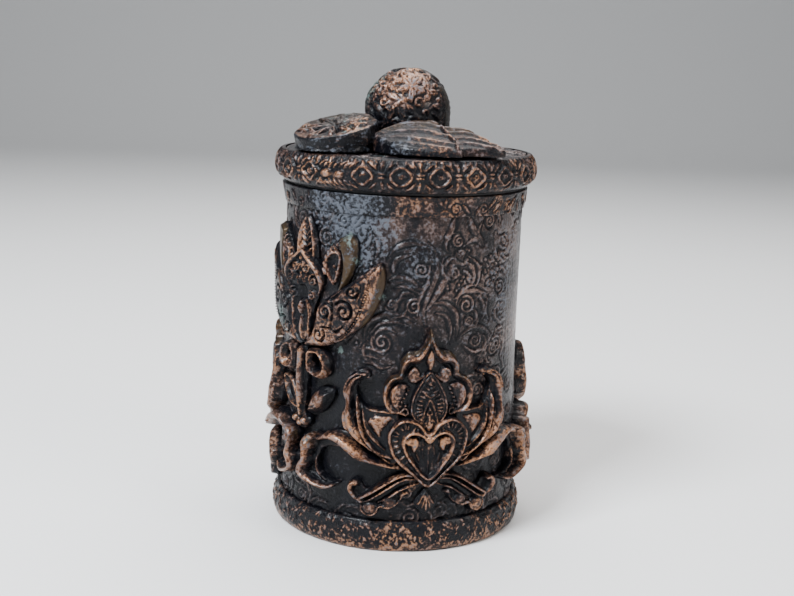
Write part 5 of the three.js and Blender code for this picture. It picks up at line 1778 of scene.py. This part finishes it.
wing = {
    "length": 41, "depth": 24, "crest": 10.6, "edge": 2.2, "left": -9.5, "front": -39.5, "seat": 129.6,
    "step": 1.5, "tailShare": 0.55, "shoulder": 0.9, "steepness": 0.62, "thinnest": 0.6,
    "ridge": [(0, .66), (.18, .92), (.38, 1), (.54, .93), (.73, .76), (.85, .54), (1, .24)],
    "frontTier": [
        (-.03, .72), (.04, .86), (.16, .95), (.3, 1), (.42, .94), (.5, .8), (.545, .66), (.535, .63),
        (.585, .48), (.575, .45), (.625, .28), (.61, .25), (.655, .04), (.56, 0), (.36, .02), (.18, .1),
        (.06, .3), (-.025, .56)],
    "frontEnding": [(.42, .94), (.5, .8), (.54, .64), (.58, .46), (.618, .27), (.64, .06)],
    "frontGaps": [[(.03, .78), (.16, .84), (.32, .86), (.5, .77)],
                  [(.04, .64), (.18, .64), (.34, .61), (.48, .54), (.58, .46)],
                  [(.07, .47), (.2, .42), (.34, .35), (.5, .27), (.63, .2)],
                  [(.13, .28), (.26, .21), (.4, .14), (.55, .07)]],
    "backTier": [
        (.3, .98), (.5, 1), (.66, .93), (.76, .86), (.75, .83), (.87, .74), (.86, .7), (.96, .56),
        (.945, .53), (1, .36), (.9, .26), (.72, .2), (.6, .2), (.4, .5)],
    "backGaps": [[(.45, .95), (.6, .92), (.76, .845)], [(.5, .78), (.7, .78), (.87, .71)],
                 [(.55, .58), (.78, .57), (.96, .53)], [(.6, .4), (.8, .37), (.95, .31)]],
}
wingScale = np.array([wing["length"], wing["depth"]])


def carveFeathers(relief, gaps, ending):
    edges = [smoothLine(np.array(gap) * wingScale) for gap in gaps]
    for edge in edges:
        relief.ridge(edge - [0, 1.15], 2.0, 0.9, (.6, .9), power=domes["blunt"])
    if ending:
        # the raised ending of a tier that lies on another one
        line = smoothLine(np.array(ending) * wingScale)
        relief.ridge(line - [0.9, 0], 1.6, 1.3, (.5, .8), power=domes["blunt"])
    for edge in edges:
        relief.groove(edge, 1.2, 1.6, (.5, 1))


def wingTier(name, outline, gaps, ending, lift, node):
    line = smoothLine(np.array(outline) * wingScale, closed=True, perSpan=4)
    line = anticlockwise(evenLine(line, 0.5, True))
    mesh = slab(line, 0.3)
    points = readPoints(mesh)
    flat, share = points[:, :2].copy(), points[:, 2].copy()
    depth = np.maximum(depthInside(flat, line), 0)
    relief = Relief(flat)
    carveFeathers(relief, gaps, ending)
    along, away = np.clip(flat / wingScale, 0, 1).T
    ridge = np.interp(along, *zip(*wing["ridge"]))
    rise = wing["edge"] + (wing["crest"] - wing["edge"]) * away * ridge
    rise += lift * (1 - wing["tailShare"] * ease(along, .55, .7))
    rounded = wing["steepness"] + (1 - wing["steepness"]) * roundedEdge(depth, wing["shoulder"])
    height = rise * rounded + relief.height * ease(depth, 0, 0.8) - 0.1
    points[:, 2] = share * np.maximum(height, wing["thinnest"])
    writePoints(mesh, points)
    rub = crests(mesh, [0, 0, 1], 14, 0.5)
    points += [wing["left"], wing["front"], wing["seat"]]
    writePoints(mesh, points)
    warm = ease(points[:, 0], 2, 20)
    # painted shade on the front left of the wing, over the dark gap beneath it: less copper there
    dark = ease(-points[:, 1] - 0.5 * points[:, 0], 31, 37)
    writeShares(mesh, "rub", (rub * 0.5 + 0.2 + 0.14 * warm) * (1 - 0.8 * dark))
    writeShares(mesh, "gilt", 0.45 * ease(points[:, 1], -27, -20) * ease(share, 0.6, 0.9))
    # dust with a painted reflection of the sky on the left of the wing
    writeShares(mesh, "dust", 0.6 * (1 - ease(points[:, 0], -4, 9)) * ease(waver(points, 5, 61), -0.1, 0.4))
    writePoints(mesh, points * mm)
    return addPiece(name, mesh, "lid", carvedClay, [node])


wingTier("wingFrontTier", wing["frontTier"], wing["frontGaps"], wing["frontEnding"], 0, "wing_front_tier")
wingTier("wingBackTier", wing["backTier"], wing["backGaps"], None, -wing["step"], "wing_back_tier")
print("lid carved")


# Hidden pieces keep their CAD shape

hiddenLook = {
    "glass": (0.86, 0.93, 0.91, 1), "paleWood": (0.50, 0.32, 0.16, 1), "darkWood": (0.33, 0.18, 0.08, 1),
    "paleSeal": (0.70, 0.68, 0.64, 1), "darkSeal": (0.62, 0.60, 0.56, 1),
    # painted shadow darkens the edge of the wooden disc where it shows in the gap between the rim and the
    # collar, from one radius to another
    "paintedShadowEdge": (38.5, 40),
}


def glassFinish():
    finish = Finish("jarGlass")
    smear = finish.noise(14, 3)
    finish.set(Base_Color=hiddenLook["glass"], Transmission_Weight=0.92, IOR=1.5,
               Roughness=finish.ease(smear, 0.3, 0.8) * 0.06 + 0.03)
    return finish


def woodFinish():
    finish = Finish("lidWood")
    stretched = finish.node("ShaderNodeMapping", {}, {"Vector": finish.place, "Scale": (1, 9, 9)})
    rings = finish.noise(7, 5, 0.55, stretched)
    pores = finish.noise(0.8, 3, 0.6, stretched)
    tone = finish.ease(rings * 0.8 + pores * 0.25, 0.3, 0.75)
    flat = finish.node("ShaderNodeVectorMath", {"operation": "MULTIPLY"}, {0: finish.place, 1: (1, 1, 0)})
    reach = finish.node("ShaderNodeVectorMath", {"operation": "LENGTH"}, {0: flat}, 1)
    wood = finish.mix(tone, hiddenLook["paleWood"], hiddenLook["darkWood"])
    # painted shadow: the wood turns to the clay's dark colour between these radii
    inner, outer = hiddenLook["paintedShadowEdge"]
    finish.set(Base_Color=finish.mix(finish.ease(reach, inner * mm, outer * mm), wood, clayLook["dark"]),
               Roughness=tone * 0.15 + 0.5, Normal=finish.bump(rings + pores, 0.15))
    return finish


def sealFinish():
    finish = Finish("sealRubber")
    haze = finish.noise(5, 3)
    finish.set(Base_Color=finish.mix(haze, hiddenLook["paleSeal"], hiddenLook["darkSeal"]),
               Roughness=haze * 0.15 + 0.4, Subsurface_Weight=0.1,
               Normal=finish.bump(finish.noise(0.6, 2), 0.02))
    return finish


def baseFinish():
    finish = Finish("baseClay")
    grain, blotch = finish.noise(0.5, 5, 0.7), finish.noise(9, 4)
    colour = finish.mix(finish.ease(blotch, 0.35, 0.75), clayLook["dark"], clayLook["brown"])
    finish.set(Base_Color=colour, Roughness=blotch * 0.25 + 0.35, Normal=finish.bump(grain + blotch, 0.1))
    return finish


hiddenFinishes = {"glass_jar": glassFinish(), "lid_core": woodFinish(), "lid_seal": sealFinish(),
                  "base_clay": baseFinish()}
hiddenFinishes["knob_core"] = hiddenFinishes["lid_core"]
for node, finish in hiddenFinishes.items():
    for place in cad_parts[node].material_slots:
        place.material = finish.material
print("hidden pieces finished")


# Camera, floor and light

# place in millimetres, angles in degrees
view = {"lens": 54.41, "sensor": 36, "place": (-1.62, -413.2, 162.1), "pitch": 78.29, "roll": 1.84}


def setCamera():
    camera = bpy.data.objects.new("camera", bpy.data.cameras.new("camera"))
    camera.data.lens = view["lens"]
    camera.data.sensor_width = view["sensor"]
    camera.data.clip_start = 0.01
    pitch, roll = math.radians(view["pitch"]), math.radians(view["roll"])
    turn = Matrix.Rotation(pitch, 4, "X") @ Matrix.Rotation(roll, 4, "Z")
    camera.matrix_world = Matrix.Translation(Vector(view["place"]) * mm) @ turn
    bpy.context.scene.collection.objects.link(camera)
    bpy.context.scene.camera = camera


# half its width, the height of its back wall and the bend between them, in metres
floorLook = {"size": 2.0, "wall": 2.2, "bend": 0.6, "colour": (0.74, 0.735, 0.73, 1)}


def layFloor():
    # a sheet that bends up behind the jar
    bm = bmesh.new()
    bmesh.ops.create_grid(bm, x_segments=1, y_segments=1, size=floorLook["size"])
    backEdge = [edge for edge in bm.edges if all(vert.co.y > 0 for vert in edge.verts)]
    raised = bmesh.ops.extrude_edge_only(bm, edges=backEdge)["geom"]
    topPoints = [vert for vert in raised if isinstance(vert, bmesh.types.BMVert)]
    bmesh.ops.translate(bm, vec=(0, 0, floorLook["wall"]), verts=topPoints)
    bmesh.ops.bevel(bm, geom=backEdge, offset=floorLook["bend"], segments=12, profile=0.5, affect="EDGES",
                    material=-1)
    mesh = bpy.data.meshes.new("floor")
    bm.to_mesh(mesh)
    bm.free()
    mesh.shade_smooth()
    paper = Finish("floorPaper")
    paper.set(Base_Color=floorLook["colour"], Roughness=0.8)
    mesh.materials.append(paper.material)
    floor = bpy.data.objects.new("floor", mesh)
    bpy.context.scene.collection.objects.link(floor)


# places and sizes in metres, power in watts
lamps = {
    "key": {"place": (-0.45, -0.5, 0.8), "size": 0.34, "power": 26, "colour": (0.9, 0.95, 1.0)},
    "fill": {"place": (0.75, -0.45, 0.4), "size": 0.34, "power": 5, "colour": (1.0, 0.96, 0.92)},
    "top": {"place": (0.1, 0.3, 0.95), "size": 0.8, "power": 14, "colour": (1.0, 1.0, 1.0)},
}
lampAim = (0, 0, 0.07)
sky = {"colour": (0.86, 0.89, 0.93, 1), "strength": 0.2}


def setLights():
    for name, lamp in lamps.items():
        light = bpy.data.lights.new(name, "AREA")
        light.size = lamp["size"]
        light.energy = lamp["power"]
        light.color = lamp["colour"]
        holder = bpy.data.objects.new(name, light)
        holder.location = lamp["place"]
        holder.rotation_euler = (Vector(lampAim) - holder.location).to_track_quat("-Z", "Y").to_euler()
        bpy.context.scene.collection.objects.link(holder)
    world = bpy.data.worlds.new("studio")
    world.use_nodes = True
    background = world.node_tree.nodes["Background"]
    background.inputs["Color"].default_value = sky["colour"]
    background.inputs["Strength"].default_value = sky["strength"]
    bpy.context.scene.world = world


setCamera()
layFloor()
setLights()
print("camera, floor and light set")
